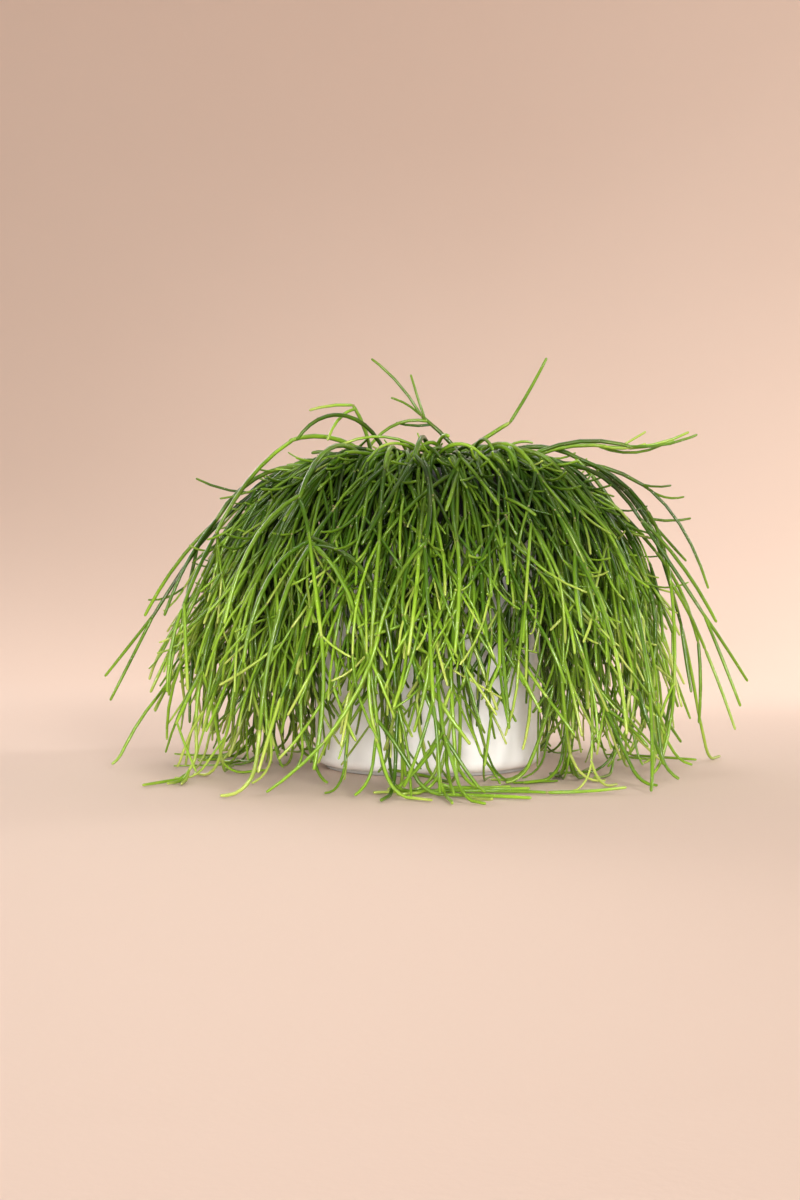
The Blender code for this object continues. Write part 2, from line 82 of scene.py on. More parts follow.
@dataclass(frozen=True)
class Vessel:
    """Sizes of the cover pot, the grower pot wedged in it, and the mix."""

    pot_radius: float = 0.100
    pot_height: float = 0.200
    pot_wall: float = 0.006
    pot_base: float = 0.008
    pot_rim_round: float = 0.002
    seat_gap: float = 0.0003
    grower_proud: float = 0.058
    grower_height: float = 0.165
    grower_wall: float = 0.0015
    grower_base: float = 0.002
    grower_taper: float = 0.105
    lip_height: float = 0.008
    lip_width: float = 0.0034
    mix_below_rim: float = 0.008

    def grower_radius(self, height: float) -> float:
        """Outer radius of the grower pot's wall at a height above the surface."""
        above_seat = height - (self.pot_height - self.pot_rim_round)
        return self.pot_radius - self.pot_wall - self.seat_gap + self.grower_taper * above_seat

    @cached_property
    def grower_top(self) -> float:
        """Height of the grower pot's rim."""
        return self.pot_height + self.grower_proud

    @cached_property
    def grower_bottom(self) -> float:
        """Height of the grower pot's underside."""
        return self.grower_top - self.grower_height

    @cached_property
    def lip_radius(self) -> float:
        """Outer radius of the grower pot's lip."""
        return self.grower_radius(self.grower_top - self.lip_height) + self.lip_width

    @cached_property
    def rim_inside(self) -> float:
        """Inner radius of the grower pot at its rim."""
        return self.grower_radius(self.grower_top) - self.grower_wall

    @cached_property
    def mix_top(self) -> float:
        """Height of the mix."""
        return self.grower_top - self.mix_below_rim


def unit(vector: Array) -> Array:
    """The vector at length one."""
    return vector / np.linalg.norm(vector)


def aimed(heading: float, rise: float) -> Array:
    """The direction with this heading and rise."""
    flat = math.cos(rise)
    return np.array((flat * math.cos(heading), flat * math.sin(heading), math.sin(rise)))


def square_to(way: Array) -> tuple[Array, Array]:
    """Two directions square to a direction and to each other."""
    first = unit(np.cross(way, (1.0, 0.0, 0.0) if abs(way[0]) < NEAR_X else (0.0, 1.0, 0.0)))
    return first, np.cross(way, first)


def splayed(way: Array, angle: float, roll: float) -> Array:
    """The direction that leaves another by an angle, to the side that the roll gives."""
    first, second = square_to(way)
    return math.cos(angle) * way + math.sin(angle) * (math.cos(roll) * first + math.sin(roll) * second)


def approach(gap: float, bend: float) -> float:
    """How directly a stem may still head for a face this far away."""
    near = min(max(1 - gap / bend, 0.0), 1.0)
    return math.sqrt(1 - near * near)


@dataclass(frozen=True)
class Travel:
    """How a stem travels: its steps, and how soon it turns along what it nears."""

    vessel: Vessel
    step: float = 0.003
    steps_per_knot: int = 6
    corner: float = 1.25
    pot_room: float = 0.0006
    surface_room: float = 0.0003
    pot_bend: float = 0.040
    surface_bend: float = 0.028
    rim_bend: float = 0.020
    steer_room: float = 0.003
    steer_slack: float = 0.004
    steer_band: float = 0.012
    least_run: float = 0.15

    def off_pot(self, point: Array, way: Array, reach: float) -> Array:
        """Turns a stem that hangs beside the pots away from their side.

        Args:
            point: Where the stem is.
            way: The direction it travels in.
            reach: Half its thickness.

        Returns:
            Its new direction.
        """
        out = np.array((point[0], point[1], 0.0))
        away = float(np.linalg.norm(out))
        keep = self.vessel.lip_radius + reach + self.steer_room
        if away < keep - self.steer_slack or point[2] > self.vessel.grower_top + reach + self.steer_band:
            return way
        out = out / away
        excess = -float(way @ out) - approach(away - keep, self.pot_bend)
        return unit(way + excess * out) if excess > 0 else way

    def off_floor(self, point: Array, way: Array, reach: float) -> Array:
        """Lays a stem along what is under it: the grower pot's rim, or the surface.

        Args:
            point: Where the stem is.
            way: The direction it travels in.
            reach: Half its thickness.

        Returns:
            Its new direction.
        """
        top = self.vessel.grower_top
        over_pot = math.hypot(point[0], point[1]) < self.vessel.lip_radius + reach + self.steer_room
        gap = point[2] - (top + reach + self.steer_room if over_pot else reach + self.surface_room)
        if over_pot and (gap < 0 or point[2] < top - self.steer_band):
            return way
        most = approach(gap, self.rim_bend if over_pot else self.surface_bend)
        if -way[2] <= most:
            return way
        flat = np.array((way[0], way[1], 0.0))
        if np.linalg.norm(flat) < self.least_run:
            flat = flat + self.least_run * unit(np.array((point[0], point[1], 0.0)))
        flat = unit(flat) * math.sqrt(1 - most * most)
        return np.array((flat[0], flat[1], -most))

    def marched(self, start: Array, way: Array, length: float, droop: float, curl: Array,
                reach: float) -> Array:
        """Marches a stem that sets off one way, sags, curls and lies along what it meets.

        Args:
            start: Where it starts.
            way: The direction it sets off in.
            length: Its length.
            droop: How fast it sags.
            curl: How fast and to which side it curls.
            reach: Half its thickness.

        Returns:
            Its points, one step apart.
        """
        point, way = np.array(start, float), unit(np.array(way, float))
        points = [point]
        for _ in range(round(length / self.step)):
            sag = DOWN - way * float(way @ DOWN)
            way = unit(way + self.step * (droop * sag + curl))
            way = unit(self.off_floor(point, self.off_pot(point, way, reach), reach))
            point = point + self.step * way
            point[2] = max(point[2], reach + self.surface_room)
            points.append(point)
        return np.array(points)

    def knots_of(self, points: Array) -> Array:
        """Picks the few of a stem's points that its solid keeps, with both ends.

        Args:
            points: The stem's points, one step apart.

        Returns:
            The picked points.
        """
        picked = list(range(0, len(points) - 1, self.steps_per_knot))
        if len(points) - 1 - picked[-1] < self.steps_per_knot // 2 and len(picked) > 1:
            picked.pop()
        return points[picked + [len(points) - 1]]

    def along(self, knots: Array) -> Array:
        """Gives close points along the straight stretches between knots.

        Args:
            knots: The knots of a stem.

        Returns:
            Points on the stretches, with both ends.
        """
        stretches = []
        for a, b in zip(knots[:-1], knots[1:]):
            parts = max(1, math.ceil(float(np.linalg.norm(b - a)) / self.step))
            stretches.append(a + (b - a) * np.linspace(0, 1, parts, endpoint=False)[:, None])
        return np.concatenate(stretches + [knots[-1:]])


@dataclass(frozen=True)
class Ring:
    """A ring of sprays round the axis, and their first stems.

    The heading is how far a stem may head off from straight out.
    """

    count: int
    radius: float
    first: float
    rise: Pair
    droop: Pair
    lengths: Pair
    heading: float = 16
    curl: float = 2.5
    stem_radius: float = 0.0021
    forks: Row = (0, 0, 0.35, 0.65)


@dataclass(frozen=True)
class Rank:
    """The stems that grow from one whorl of joints, and the chances of 0, 1, 2 ... forks."""

    radius: float
    lengths: Pair
    droop: Pair
    splay: Pair
    curl: float
    forks: Row


@dataclass(frozen=True)
class Leg:
    """One stem of a lone spray, and those that grow from its tip."""

    radius: float
    heading: float
    rise: float
    length: float
    droop: float
    legs: tuple["Leg", ...] = ()


@dataclass(frozen=True)
class Lone:
    """A spray that stands out of the mop: its foot on the mix, and whether its legs bear whorls."""

    foot: Pair
    leg: Leg
    bears: bool = False


@dataclass(frozen=True)
class Outline:
    """The mop's outline: how far stems may reach out from its middle at some heights."""

    heights: Row
    radii: Row
    shift: float = 0.0
    lean: float = 0.0

    def most(self, heights: Array) -> Array:
        """How far stems may reach out at these heights."""
        return np.interp(heights, self.heights, self.radii)

    def holds(self, points: Array, play: float = 1.0) -> bool:
        """Tells whether a stem stays within a share of the outline's reach."""
        away = np.hypot(points[:, 0] - (self.shift + self.lean * points[:, 2]), points[:, 1])
        return bool((away < self.most(points[:, 2]) * play).all())


@dataclass(frozen=True)
class Parting:
    """A place in front where the mop parts over the pot: its corners, and how many stems keep out."""

    low: Triple
    high: Triple
    share: float

    def crossed(self, points: Array) -> bool:
        """Whether a stem passes through it."""
        return bool(((points > self.low) & (points < self.high)).all(1).any())


@dataclass
class Stem:
    """A grown stem: its close points, the knots that its solid keeps, and the stems that it bears."""

    line: Array
    knots: Array
    radius: float
    rank: int
    forks: list["Stem"] = field(default_factory=list)

    @property
    def end_way(self) -> Array:
        """The direction that the stem ends in."""
        return unit(self.knots[-1] - self.knots[-2])

    def all(self) -> Iterator["Stem"]:
        """The stem and all that it bears."""
        yield self
        for fork in self.forks:
            yield from fork.all()


RINGS = (
    Ring(14, 0.078, 8.0, (30, 48), (24, 38), (0.065, 0.090)),
    Ring(11, 0.058, 20.0, (42, 54), (19, 24), (0.085, 0.110)),
    Ring(8, 0.034, 5.0, (44, 54), (13, 16), (0.105, 0.130)),
)
RANKS = {
    1: Rank(0.0018, (0.065, 0.115), (4, 11), (12, 42), 6.0, (0.1, 0.5, 0.4)),
    2: Rank(0.0016, (0.060, 0.105), (3, 10), (15, 42), 8.0, (0.4, 0.42, 0.18)),
    3: Rank(0.0015, (0.055, 0.095), (0, 9), (15, 42), 9.0, (0.65, 0.27, 0.08)),
    4: Rank(0.0014, (0.050, 0.085), (-5, 8), (15, 40), 10.0, (1,)),
}
LONES = (
    # One long stem that stands up over the right side, with a kink at its joint.
    Lone((0.002, -0.014), Leg(0.0020, 0, 41, 0.086, 2.0, (Leg(0.0016, 2, 58, 0.066, -5.0),))),
    # A tuft that leans over the middle: young shoots at its top, and one that bows down again.
    Lone((0.049, 0.010), Leg(0.0019, 180, 54, 0.080, 5.0, (
        Leg(0.0014, 178, 60, 0.068, 10.0), Leg(0.0013, 180, 70, 0.042, -6.0),
        Leg(0.0016, 186, 14, 0.074, 22.0), Leg(0.0013, 174, -12, 0.034, -16.0),
        Leg(0.0012, 170, 46, 0.034, 20.0)))),
    # A high bow over the left side, with a second one that drops off it.
    Lone((-0.046, -0.020), Leg(0.0018, 201, 80, 0.070, 25.0, (
        Leg(0.0015, 187, 8, 0.038, 10.0), Leg(0.0014, 224, -6, 0.046, 32.0)))),
    # A lower bow in front of it, and one from the middle to the right.
    Lone((-0.030, -0.035), Leg(0.0018, 203, 74, 0.126, 26.0)),
    Lone((0.004, 0.022), Leg(0.0018, 358, 66, 0.106, 25.0)),
    # Stems over the right shoulder, whose young tips flick up and out.
    Lone((0.060, -0.020), Leg(0.0018, 0, 40, 0.104, 9.0, (
        Leg(0.0014, 0, -8, 0.060, -8.0), Leg(0.0013, 350, -16, 0.038, -18.0),
        Leg(0.0014, 9, -26, 0.062, -14.0)))),
    Lone((0.068, 0.002), Leg(0.0018, 2, 34, 0.138, 8.5, (
        Leg(0.0014, 357, -38, 0.104, 12.0), Leg(0.0012, 6, -44, 0.040, -28.0),
        Leg(0.0012, 346, -20, 0.026, -20.0)))),
    Lone((0.060, -0.046), Leg(0.0018, 346, 38, 0.124, 9.0, (
        Leg(0.0014, 2, 2, 0.052, -9.0), Leg(0.0013, 350, -6, 0.060, -9.0),
        Leg(0.0012, 12, 24, 0.024, -8.0)))),
    Lone((0.072, 0.026), Leg(0.0018, 356, 34, 0.150, 13.0, (
        Leg(0.0014, 358, -14, 0.038, -12.0), Leg(0.0014, 6, -52, 0.056, -1.0),
        Leg(0.0013, 348, -60, 0.058, 5.0)))),
    # One over the left shoulder.
    Lone((-0.060, 0.012), Leg(0.0018, 176, 36, 0.112, 14.0, (
        Leg(0.0013, 181, 2, 0.050, -9.0), Leg(0.0014, 200, -60, 0.090, 1.0)))),
    # Long stems that hang out furthest to the right and to the left.
    Lone((0.070, -0.034), Leg(0.0019, 338, 36, 0.140, 14.0, (
        Leg(0.0017, 346, -56, 0.100, 1.0, (
            Leg(0.0015, 356, -42, 0.095, -3.0), Leg(0.0014, 332, -66, 0.080, 2.0),
            Leg(0.0014, 12, -52, 0.072, 0.0))),
        Leg(0.0016, 4, -40, 0.110, 7.0), Leg(0.0015, 322, -50, 0.095, 6.0)))),
    Lone((-0.073, -0.016), Leg(0.0019, 187, 35, 0.140, 14.0, (
        Leg(0.0017, 184, -55, 0.100, 1.0, (
            Leg(0.0015, 178, -44, 0.098, -3.0), Leg(0.0014, 204, -64, 0.080, 2.0),
            Leg(0.0014, 166, -52, 0.072, 1.0))),
        Leg(0.0016, 168, -42, 0.105, 6.0), Leg(0.0015, 210, -48, 0.100, 7.0)))),
    # A stout stem over the front left, which opens into one large fan.
    Lone((-0.046, -0.040), Leg(0.0021, 246, 46, 0.160, 12.5, (
        Leg(0.0019, 296, -42, 0.046, 22.0, (
            Leg(0.0018, 336, 10, 0.166, 21.0), Leg(0.0018, 328, -27, 0.160, 14.0),
            Leg(0.0017, 344, -20, 0.120, 11.0), Leg(0.0016, 286, -62, 0.090, 3.0),
            Leg(0.0018, 226, -43, 0.152, 14.0), Leg(0.0017, 214, -16, 0.116, 19.0),
            Leg(0.0016, 254, -50, 0.110, 6.0))),
        Leg(0.0017, 206, -26, 0.126, 14.0))), True),
)


class Grower:
    """Random draws and the room to the pots, for every kind of growth."""

    seed: int
    spread: float
    fork_stagger = 0.004
    lead_angles = (2, 12)
    roll_play = 0.2

    def __init__(self, travel: Travel) -> None:
        """Starts the random draws."""
        self.rng = random.Random(self.seed)
        self.travel, self.vessel = travel, travel.vessel

    def between(self, pair: Pair) -> float:
        """A random value between two."""
        return self.rng.uniform(*pair)

    def off_by(self, most: float) -> float:
        """A random value up to this far to either side of nought."""
        return self.rng.uniform(-most, most)

    def picked(self, chances: Sequence[float]) -> int:
        """A random number of forks by the chances of each."""
        return self.rng.choices(range(len(chances)), chances)[0]

    def curled(self, way: Array, most: float) -> Array:
        """Draws a random curl square to a direction.

        Args:
            way: The direction.
            most: The strongest curl.

        Returns:
            The curl.
        """
        first, second = square_to(way)
        turn = self.rng.uniform(0, math.tau)
        return (math.cos(turn) * first + math.sin(turn) * second) * self.rng.uniform(0, most)

    def misses_pots(self, points: Array, reach: float, rooted: bool) -> bool:
        """Tells whether a stem stays out of the pots and within the mop's spread.

        Args:
            points: Close points along the stem.
            reach: Half its thickness.
            rooted: Whether it grows out of the mix, and so starts inside the rim.

        Returns:
            True if it does.
        """
        room = reach + self.travel.pot_room
        away = np.hypot(points[:, 0], points[:, 1])
        inside = (away < self.vessel.lip_radius + room) & (points[:, 2] < self.vessel.grower_top + room)
        if rooted:
            inside &= away > self.vessel.rim_inside - room
        return away.max() <= self.spread and not inside.any()

    def outward(self, turn: float, kind: "Ring | Fill", droop: float) -> tuple:
        """Draws how a stem sets off from its foot on the mix.

        Args:
            turn: The heading straight out.
            kind: The ring or fill that it belongs to.
            droop: How fast it sags.

        Returns:
            Its direction, length, droop and curl.
        """
        heading = turn + math.radians(self.off_by(kind.heading))
        way = aimed(heading, math.radians(self.between(kind.rise)))
        return way, self.between(kind.lengths), droop, self.curled(way, kind.curl)

    def whorl_draw(self, end: Array, way: Array, rank: Rank, first: float, index: int, many: int) -> tuple:
        """Draws one stem of a whorl.

        Args:
            end: The joint that the whorl grows from.
            way: The direction of the stem that ends there.
            rank: The rank of the new stems.
            first: The side that the whorl starts on.
            index: The stem's place in the whorl. The first one leads on.
            many: How many stems the whorl has.

        Returns:
            The start, direction, length, droop and curl to march with.
        """
        roll = first + math.tau * (index + self.off_by(self.roll_play)) / many
        new = splayed(way, math.radians(self.between(rank.splay if index else self.lead_angles)), roll)
        length, droop = self.between(rank.lengths), self.between(rank.droop)
        return end - way * self.fork_stagger * index, new, length, droop, self.curled(new, rank.curl)


class MainGrowth(Grower):
    """Grows the main stems, spray by spray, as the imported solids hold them."""

    seed = 33
    spread = 0.288
    tries = 40
    fork_places = 4
    turn_play = 6
    aim_play = 3
    foot_play = (0.94, 1.04)
    lone_curl = 1.0
    root_depth = 0.012
    collar = 0.004
    spray_room = 0.0012
    stem_room = 0.0004
    near_by = 4
    joint_reach = 6
    outline = Outline((0.0, 0.050, 0.100, 0.165, 0.210, 0.240, 0.265, 0.290),
                      (0.286, 0.274, 0.252, 0.225, 0.205, 0.185, 0.160, 0.135))

    def __init__(self, travel: Travel) -> None:
        """Starts with no stems.

        Args:
            travel: How stems travel.
        """
        super().__init__(travel)
        self.points = np.empty((0, 3))
        self.reaches = np.empty(0)
        self.owners = np.empty(0, int)
        self.sprays: list[Stem] = []
        self.joints: list[tuple[int, Stem, int]] = []
        self.later: list[tuple[int, Stem, int]] = []

    def misses_stems(self, points: Array, reach: float, owner: int) -> bool:
        """Tells whether a stem keeps its room to all others, apart from the joint it grows from.

        Args:
            points: Close points along the stem.
            reach: Half its thickness.
            owner: The spray that it belongs to.

        Returns:
            True if it does.
        """
        low, high = points.min(0) - self.near_by * reach, points.max(0) + self.near_by * reach
        near = ((self.points > low) & (self.points < high)).all(1)
        own = self.owners[near] == owner
        apart = np.linalg.norm(points[:, None] - self.points[near][None], axis=2)
        close = apart < reach + self.reaches[near] + np.where(own, self.stem_room, self.spray_room)
        close[:self.joint_reach, own] = False
        return not close.any()

    def stem(self, draw: Draw, radius: float, rank: int, owner: int, lead: Array | None = None,
             free: bool = False) -> Stem | None:
        """Grows one stem, drawn again until it has room.

        Args:
            draw: Gives the start, direction, length, droop and curl of one try.
            radius: The stem's radius.
            rank: The stem's rank.
            owner: The spray that it belongs to.
            lead: The root's end, for a stem that grows out of the mix.
            free: Whether it may leave the outline.

        Returns:
            The stem, or None where no try has room.
        """
        reach = self.travel.corner * radius
        for _ in range(self.tries):
            line = self.travel.marched(*draw(), reach)
            knots = self.travel.knots_of(line)
            if lead is not None:
                knots = np.concatenate([lead, knots])
                line = np.concatenate([lead, line])
            points = self.travel.along(knots)
            fits = self.misses_pots(points, reach, lead is not None) and (free or self.outline.holds(points))
            if fits and self.misses_stems(points, reach, owner):
                self.points = np.concatenate([self.points, points])
                self.reaches = np.concatenate([self.reaches, np.full(len(points), reach)])
                self.owners = np.concatenate([self.owners, np.full(len(points), owner)])
                return Stem(line, knots, radius, rank)
        return None

    def rooted(self, foot: Pair, draw: Draw, radius: float, free: bool = False) -> Stem | None:
        """Grows the first stem of a new spray, which stands upright in the mix.

        Args:
            foot: Its place on the mix.
            draw: Gives the direction, length, droop and curl of one try.
            radius: The stem's radius.
            free: Whether it may leave the outline.

        Returns:
            The stem, or None where it has no room.
        """
        base = np.array((*foot, self.vessel.mix_top))
        lead = base - np.array((0, 0, self.root_depth))
        collar = base + np.array((0, 0, self.collar))
        stem = self.stem(lambda: (collar, *draw()), radius, 0, len(self.sprays), lead[None], free)
        if stem:
            self.sprays.append(stem)
        return stem

    def ring_spray(self, ring: Ring, index: int) -> None:
        """Grows the first stem of one spray of a ring, outwards over the rim.

        Args:
            ring: The ring.
            index: The spray's place in it.
        """
        turn = math.radians(ring.first + 360 * index / ring.count + self.off_by(self.turn_play))
        away = ring.radius * self.between(self.foot_play)
        droop = self.between(ring.droop)
        stem = self.rooted((away * math.cos(turn), away * math.sin(turn)),
                           lambda: self.outward(turn, ring, droop), ring.stem_radius)
        if stem:
            self.joints.append((len(self.sprays) - 1, stem, self.picked(ring.forks)))

    def leg_draw(self, leg: Leg) -> tuple:
        """Draws one leg of a lone spray, a little off its aim.

        Args:
            leg: The leg.

        Returns:
            Its direction, length, droop and curl.
        """
        tilt = math.radians(self.off_by(self.aim_play))
        way = aimed(math.radians(leg.heading) + tilt, math.radians(leg.rise) + tilt)
        return way, leg.length, leg.droop, self.curled(way, self.lone_curl)

    def legs(self, owner: int, stem: Stem, leg: Leg, bears: bool) -> None:
        """Grows the legs from a leg's tip, and theirs in turn.

        Args:
            owner: The spray that they belong to.
            stem: The leg's stem.
            leg: The leg.
            bears: Whether the last legs bear whorls later.
        """
        for index, new in enumerate(leg.legs):
            start = stem.knots[-1] - stem.end_way * self.fork_stagger * (index % self.fork_places)
            shoot = self.stem(lambda: (start, *self.leg_draw(new)), new.radius, 1, owner, free=True)
            if shoot:
                stem.forks.append(shoot)
                self.legs(owner, shoot, new, bears)
                if bears and not new.legs:
                    self.later.append((owner, shoot, self.picked(RANKS[1].forks)))

    def fork(self, parent: Stem, rank: int, owner: int, many: int) -> None:
        """Grows a whorl of stems from the joint at a stem's tip.

        Args:
            parent: The stem.
            rank: The rank of the new stems.
            owner: The spray that they belong to.
            many: How many there are.
        """
        end, way = parent.knots[-1], parent.end_way
        first = self.rng.uniform(0, math.tau)
        for index in range(many):
            stem = self.stem(lambda: self.whorl_draw(end, way, RANKS[rank], first, index, many),
                             RANKS[rank].radius, rank, owner)
            if stem:
                parent.forks.append(stem)

    def grow(self) -> list[Stem]:
        """Grows all sprays, rank by rank, so that no spray takes all the room.

        Returns:
            The first stem of each spray.
        """
        for owner, lone in enumerate(LONES):
            stem = self.rooted(lone.foot, lambda: self.leg_draw(lone.leg), lone.leg.radius, True)
            self.legs(owner, stem, lone.leg, lone.bears)
        for ring in RINGS:
            for index in range(ring.count):
                self.ring_spray(ring, index)
        for rank in RANKS:
            grown, self.later = self.later, []
            for owner, stem, many in self.joints:
                self.fork(stem, rank, owner, many)
                grown += [(owner, fork, self.picked(RANKS[rank].forks)) for fork in stem.forks]
            self.joints = grown
        return self.sprays


@dataclass(frozen=True)
class Fill:
    """Finer stems that rise from the mix: how many, where from, and how they go.

    The heading is how far a stem may head off from straight out, and the ceiling how high
    it may rise.
    """

    count: int
    foot: Pair
    rise: Pair
    droop: Pair
    lengths: Pair
    heading: float
    curl: float
    radius: Pair
    rank: int
    whorl: Row
    ceiling: Pair = (0.268, 0.292)


FILLS = (
    # From the middle, wide over the dome.
    Fill(44, (0.012, 0.042), (36, 56), (13, 18), (0.090, 0.125), 34, 6, (0.0017, 0.0021), 0,
         (0, 0, 0.1, 0.4, 0.5)),
    # Between the middle and the rim.
    Fill(64, (0.042, 0.068), (30, 55), (18, 26), (0.070, 0.100), 34, 6, (0.0017, 0.0021), 0,
         (0, 0, 0.1, 0.4, 0.5)),
    # Close to the rim, over the shoulder.
    Fill(34, (0.056, 0.078), (42, 64), (26, 38), (0.055, 0.085), 34, 6, (0.0016, 0.0020), 0,
         (0, 0, 0.3, 0.4, 0.3)),
    # The curtain that hangs down close to the pot.
    Fill(50, (0.060, 0.080), (50, 72), (34, 52), (0.055, 0.085), 44, 6, (0.0015, 0.0020), 0,
         (0, 0.2, 0.4, 0.4)),
    # Shorter stems that hang over the rim in all directions.
    Fill(150, (0.050, 0.082), (38, 76), (24, 60), (0.045, 0.095), 70, 14, (0.0014, 0.0019), 2,
         (0.1, 0.25, 0.4, 0.25)),
    # Old stems that drop close over the rim.
    Fill(330, (0.060, 0.080), (52, 76), (42, 64), (0.075, 0.120), 60, 8, (0.0014, 0.0019), 1,
         (0.7, 0.2, 0.1)),
    # Bows that cross over the crown.
    Fill(72, (0.004, 0.078), (42, 72), (11, 20), (0.070, 0.130), 180, 16, (0.0012, 0.0017), 2,
         (0.4, 0.3, 0.2, 0.1), (0.276, 0.300)),
    # Short curly shoots between them.
    Fill(90, (0.004, 0.080), (10, 50), (4, 24), (0.035, 0.080), 180, 30, (0.0012, 0.0016), 3,
         (0.5, 0.25, 0.25)),
)


class FillGrowth(Grower):
    """Grows the finer stems between the main ones, which may touch and cross."""

    seed = 71
    spread = 0.262
    tries = 10
    start_depth = 0.004
    risen_by = 4
    thinner = (0.62, 0.95)
    finest = (0.56, 0.74)
    shorter = (0.50, 1.10)
    fork_places = 3
    fork_share = 0.5
    outline = Outline((0.0, 0.050, 0.105, 0.165, 0.210, 0.240, 0.265, 0.290),
                      (0.238, 0.238, 0.229, 0.210, 0.190, 0.164, 0.134, 0.106), -0.016, 0.08)
    ceiling = (0.268, 0.298)
    outline_play = (0.86, 1.03)
    siblings = ((0, 0, 0.2, 0.4, 0.4), (0, 0.2, 0.4, 0.4), (0.1, 0.4, 0.5), (0.3, 0.4, 0.3))
    whorls = ((0.05, 0.10, 0.38, 0.36, 0.11), (0.30, 0.20, 0.31, 0.19), (0.62, 0.23, 0.15), (1,))
    upturned = 0.20
    upturned_from = 0.11
    upturned_droop = (-30, -6)
    upturned_lengths = (0.022, 0.052)
    upturned_play = 1.14
    sag_heights = (0.18, 0.27)
    sag_least = (0.1, 0.7)
    sag_most = (0.8, 2.0)
    partings = (
        Parting((-0.010, -0.300, 0.000), (0.030, -0.080, 0.075), 0.70),
        Parting((-0.100, -0.300, 0.000), (0.104, -0.080, 0.030), 0.45),
        Parting((0.030, -0.300, 0.040), (0.090, -0.080, 0.150), 0.28),
    )
    golden_turn = math.pi * (3 - math.sqrt(5))

    def stem(self, draw: Draw, radius: float, rank: int, rooted: bool = False, stands_out: bool = False,
             ceiling: Pair | None = None) -> Stem | None:
        """Grows one finer stem, drawn again until it clears the pots.

        Args:
            draw: Gives the start, direction, length, droop and curl of one try.
            radius: The stem's radius.
            rank: The stem's rank.
            rooted: Whether it grows out of the mix.
            stands_out: Whether it may stand out of the outline.
            ceiling: How high it may rise, if not as high as most.

        Returns:
            The stem, or None where no try clears them.
        """
        closed = [parting for parting in self.partings if self.rng.random() < parting.share]
        top = self.between(ceiling or self.ceiling)
        for _ in range(self.tries):
            line = self.travel.marched(*draw(), radius)
            play = self.upturned_play if stands_out else self.between(self.outline_play)
            if (line[:, 2].max() < top and self.outline.holds(line, play)
                    and not any(parting.crossed(line) for parting in closed)
                    and not (rooted and self.sinks(line)) and self.misses_pots(line, radius, rooted)):
                return Stem(line, line, radius, rank)
        return None

    def sinks(self, line: Array) -> bool:
        """Whether a stem that has risen from the mix dips back into it."""
        x, y, height = line[self.risen_by:].T
        return bool(((np.hypot(x, y) < self.vessel.rim_inside) & (height < self.vessel.mix_top)).any())

    def bear(self, parent: Stem, rank: int, many: int, had: int = 0) -> None:
        """Grows stems from a stem's joint, and what they bear in turn.

        Args:
            parent: The stem.
            rank: The rank of the new stems.
            many: How many there are.
            had: How many the whorl has already.
        """
        if rank not in RANKS:
            return
        end, way = parent.line[-1], unit(parent.line[-1] - parent.line[-3])
        first = self.rng.uniform(0, math.tau)
        for index in range(had, many + had):
            flicks = end[2] > self.upturned_from and self.rng.random() < self.upturned
            sag = self.rng.uniform(np.interp(end[2], self.sag_heights, self.sag_least),
                                   np.interp(end[2], self.sag_heights, self.sag_most))

            def draw() -> tuple:
                """One try, a little shorter than a main stem, or a short one that turns up.

                Returns:
                    The start, direction, length, droop and curl.
                """
                _, new, length, droop, curl = self.whorl_draw(
                    end, way, RANKS[rank], first, index, many + had)
                start = end - way * self.fork_stagger * min(index, self.fork_places) * self.fork_share
                if flicks:
                    length, droop = self.between(self.upturned_lengths), self.between(self.upturned_droop)
                    return start, new, length, droop, curl
                return start, new, length * self.between(self.shorter), droop * sag, curl

            radius = RANKS[rank].radius * self.between(self.finest if flicks else self.thinner)
            stem = self.stem(draw, radius, rank, stands_out=flicks)
            if stem:
                parent.forks.append(stem)
                if not flicks:
                    self.bear(stem, rank + 1, self.picked(self.whorls[rank - 1]))

    def risen(self, fill: Fill, index: int) -> Stem | None:
        """Grows a stem that rises from the mix, and what it bears.

        Args:
            fill: The kind of stem.
            index: The stem's number, which spreads the feet evenly over the mix.

        Returns:
            The stem, or None where it doesn't clear the pots.
        """
        turn = index * self.golden_turn
        away = self.between(fill.foot)
        low = self.vessel.mix_top - self.start_depth
        start = np.array((away * math.cos(turn), away * math.sin(turn), low))
        droop = self.between(fill.droop)
        stem = self.stem(lambda: (start, *self.outward(turn, fill, droop)), self.between(fill.radius),
                         fill.rank, True, ceiling=fill.ceiling)
        if stem:
            self.bear(stem, fill.rank + 1, self.picked(fill.whorl))
        return stem

    def grow(self, sprays: list[Stem]) -> list[list[Stem]]:
        """Fills the mop.

        Args:
            sprays: The first main stem of each spray, in the order of the frame's nodes.

        Returns:
            For each spray, all its stems, main and finer.
        """
        full = [list(spray.all()) for spray in sprays]
        for index, stems in enumerate(full):
            if index < len(LONES) and not LONES[index].bears:
                continue
            for stem in list(stems):
                if stem.forks:
                    had = len(stem.forks)
                    self.bear(stem, stem.rank + 1, self.picked(self.siblings[stem.rank]), had)
                    stems.extend(new for fork in stem.forks[had:] for new in fork.all())
        roots = [self.risen(fill, index) for fill in FILLS for index in range(fill.count)]
        feet = np.array([spray.knots[0][:2] for spray in sprays[len(LONES):]])
        for root in filter(None, roots):
            nearest = int(np.argmin(np.linalg.norm(feet - root.line[0][:2], axis=1)))
            full[len(LONES) + nearest].extend(root.all())
        return full


# Shaders: a socket that does arithmetic, a graph that adds nodes, and the finishes.


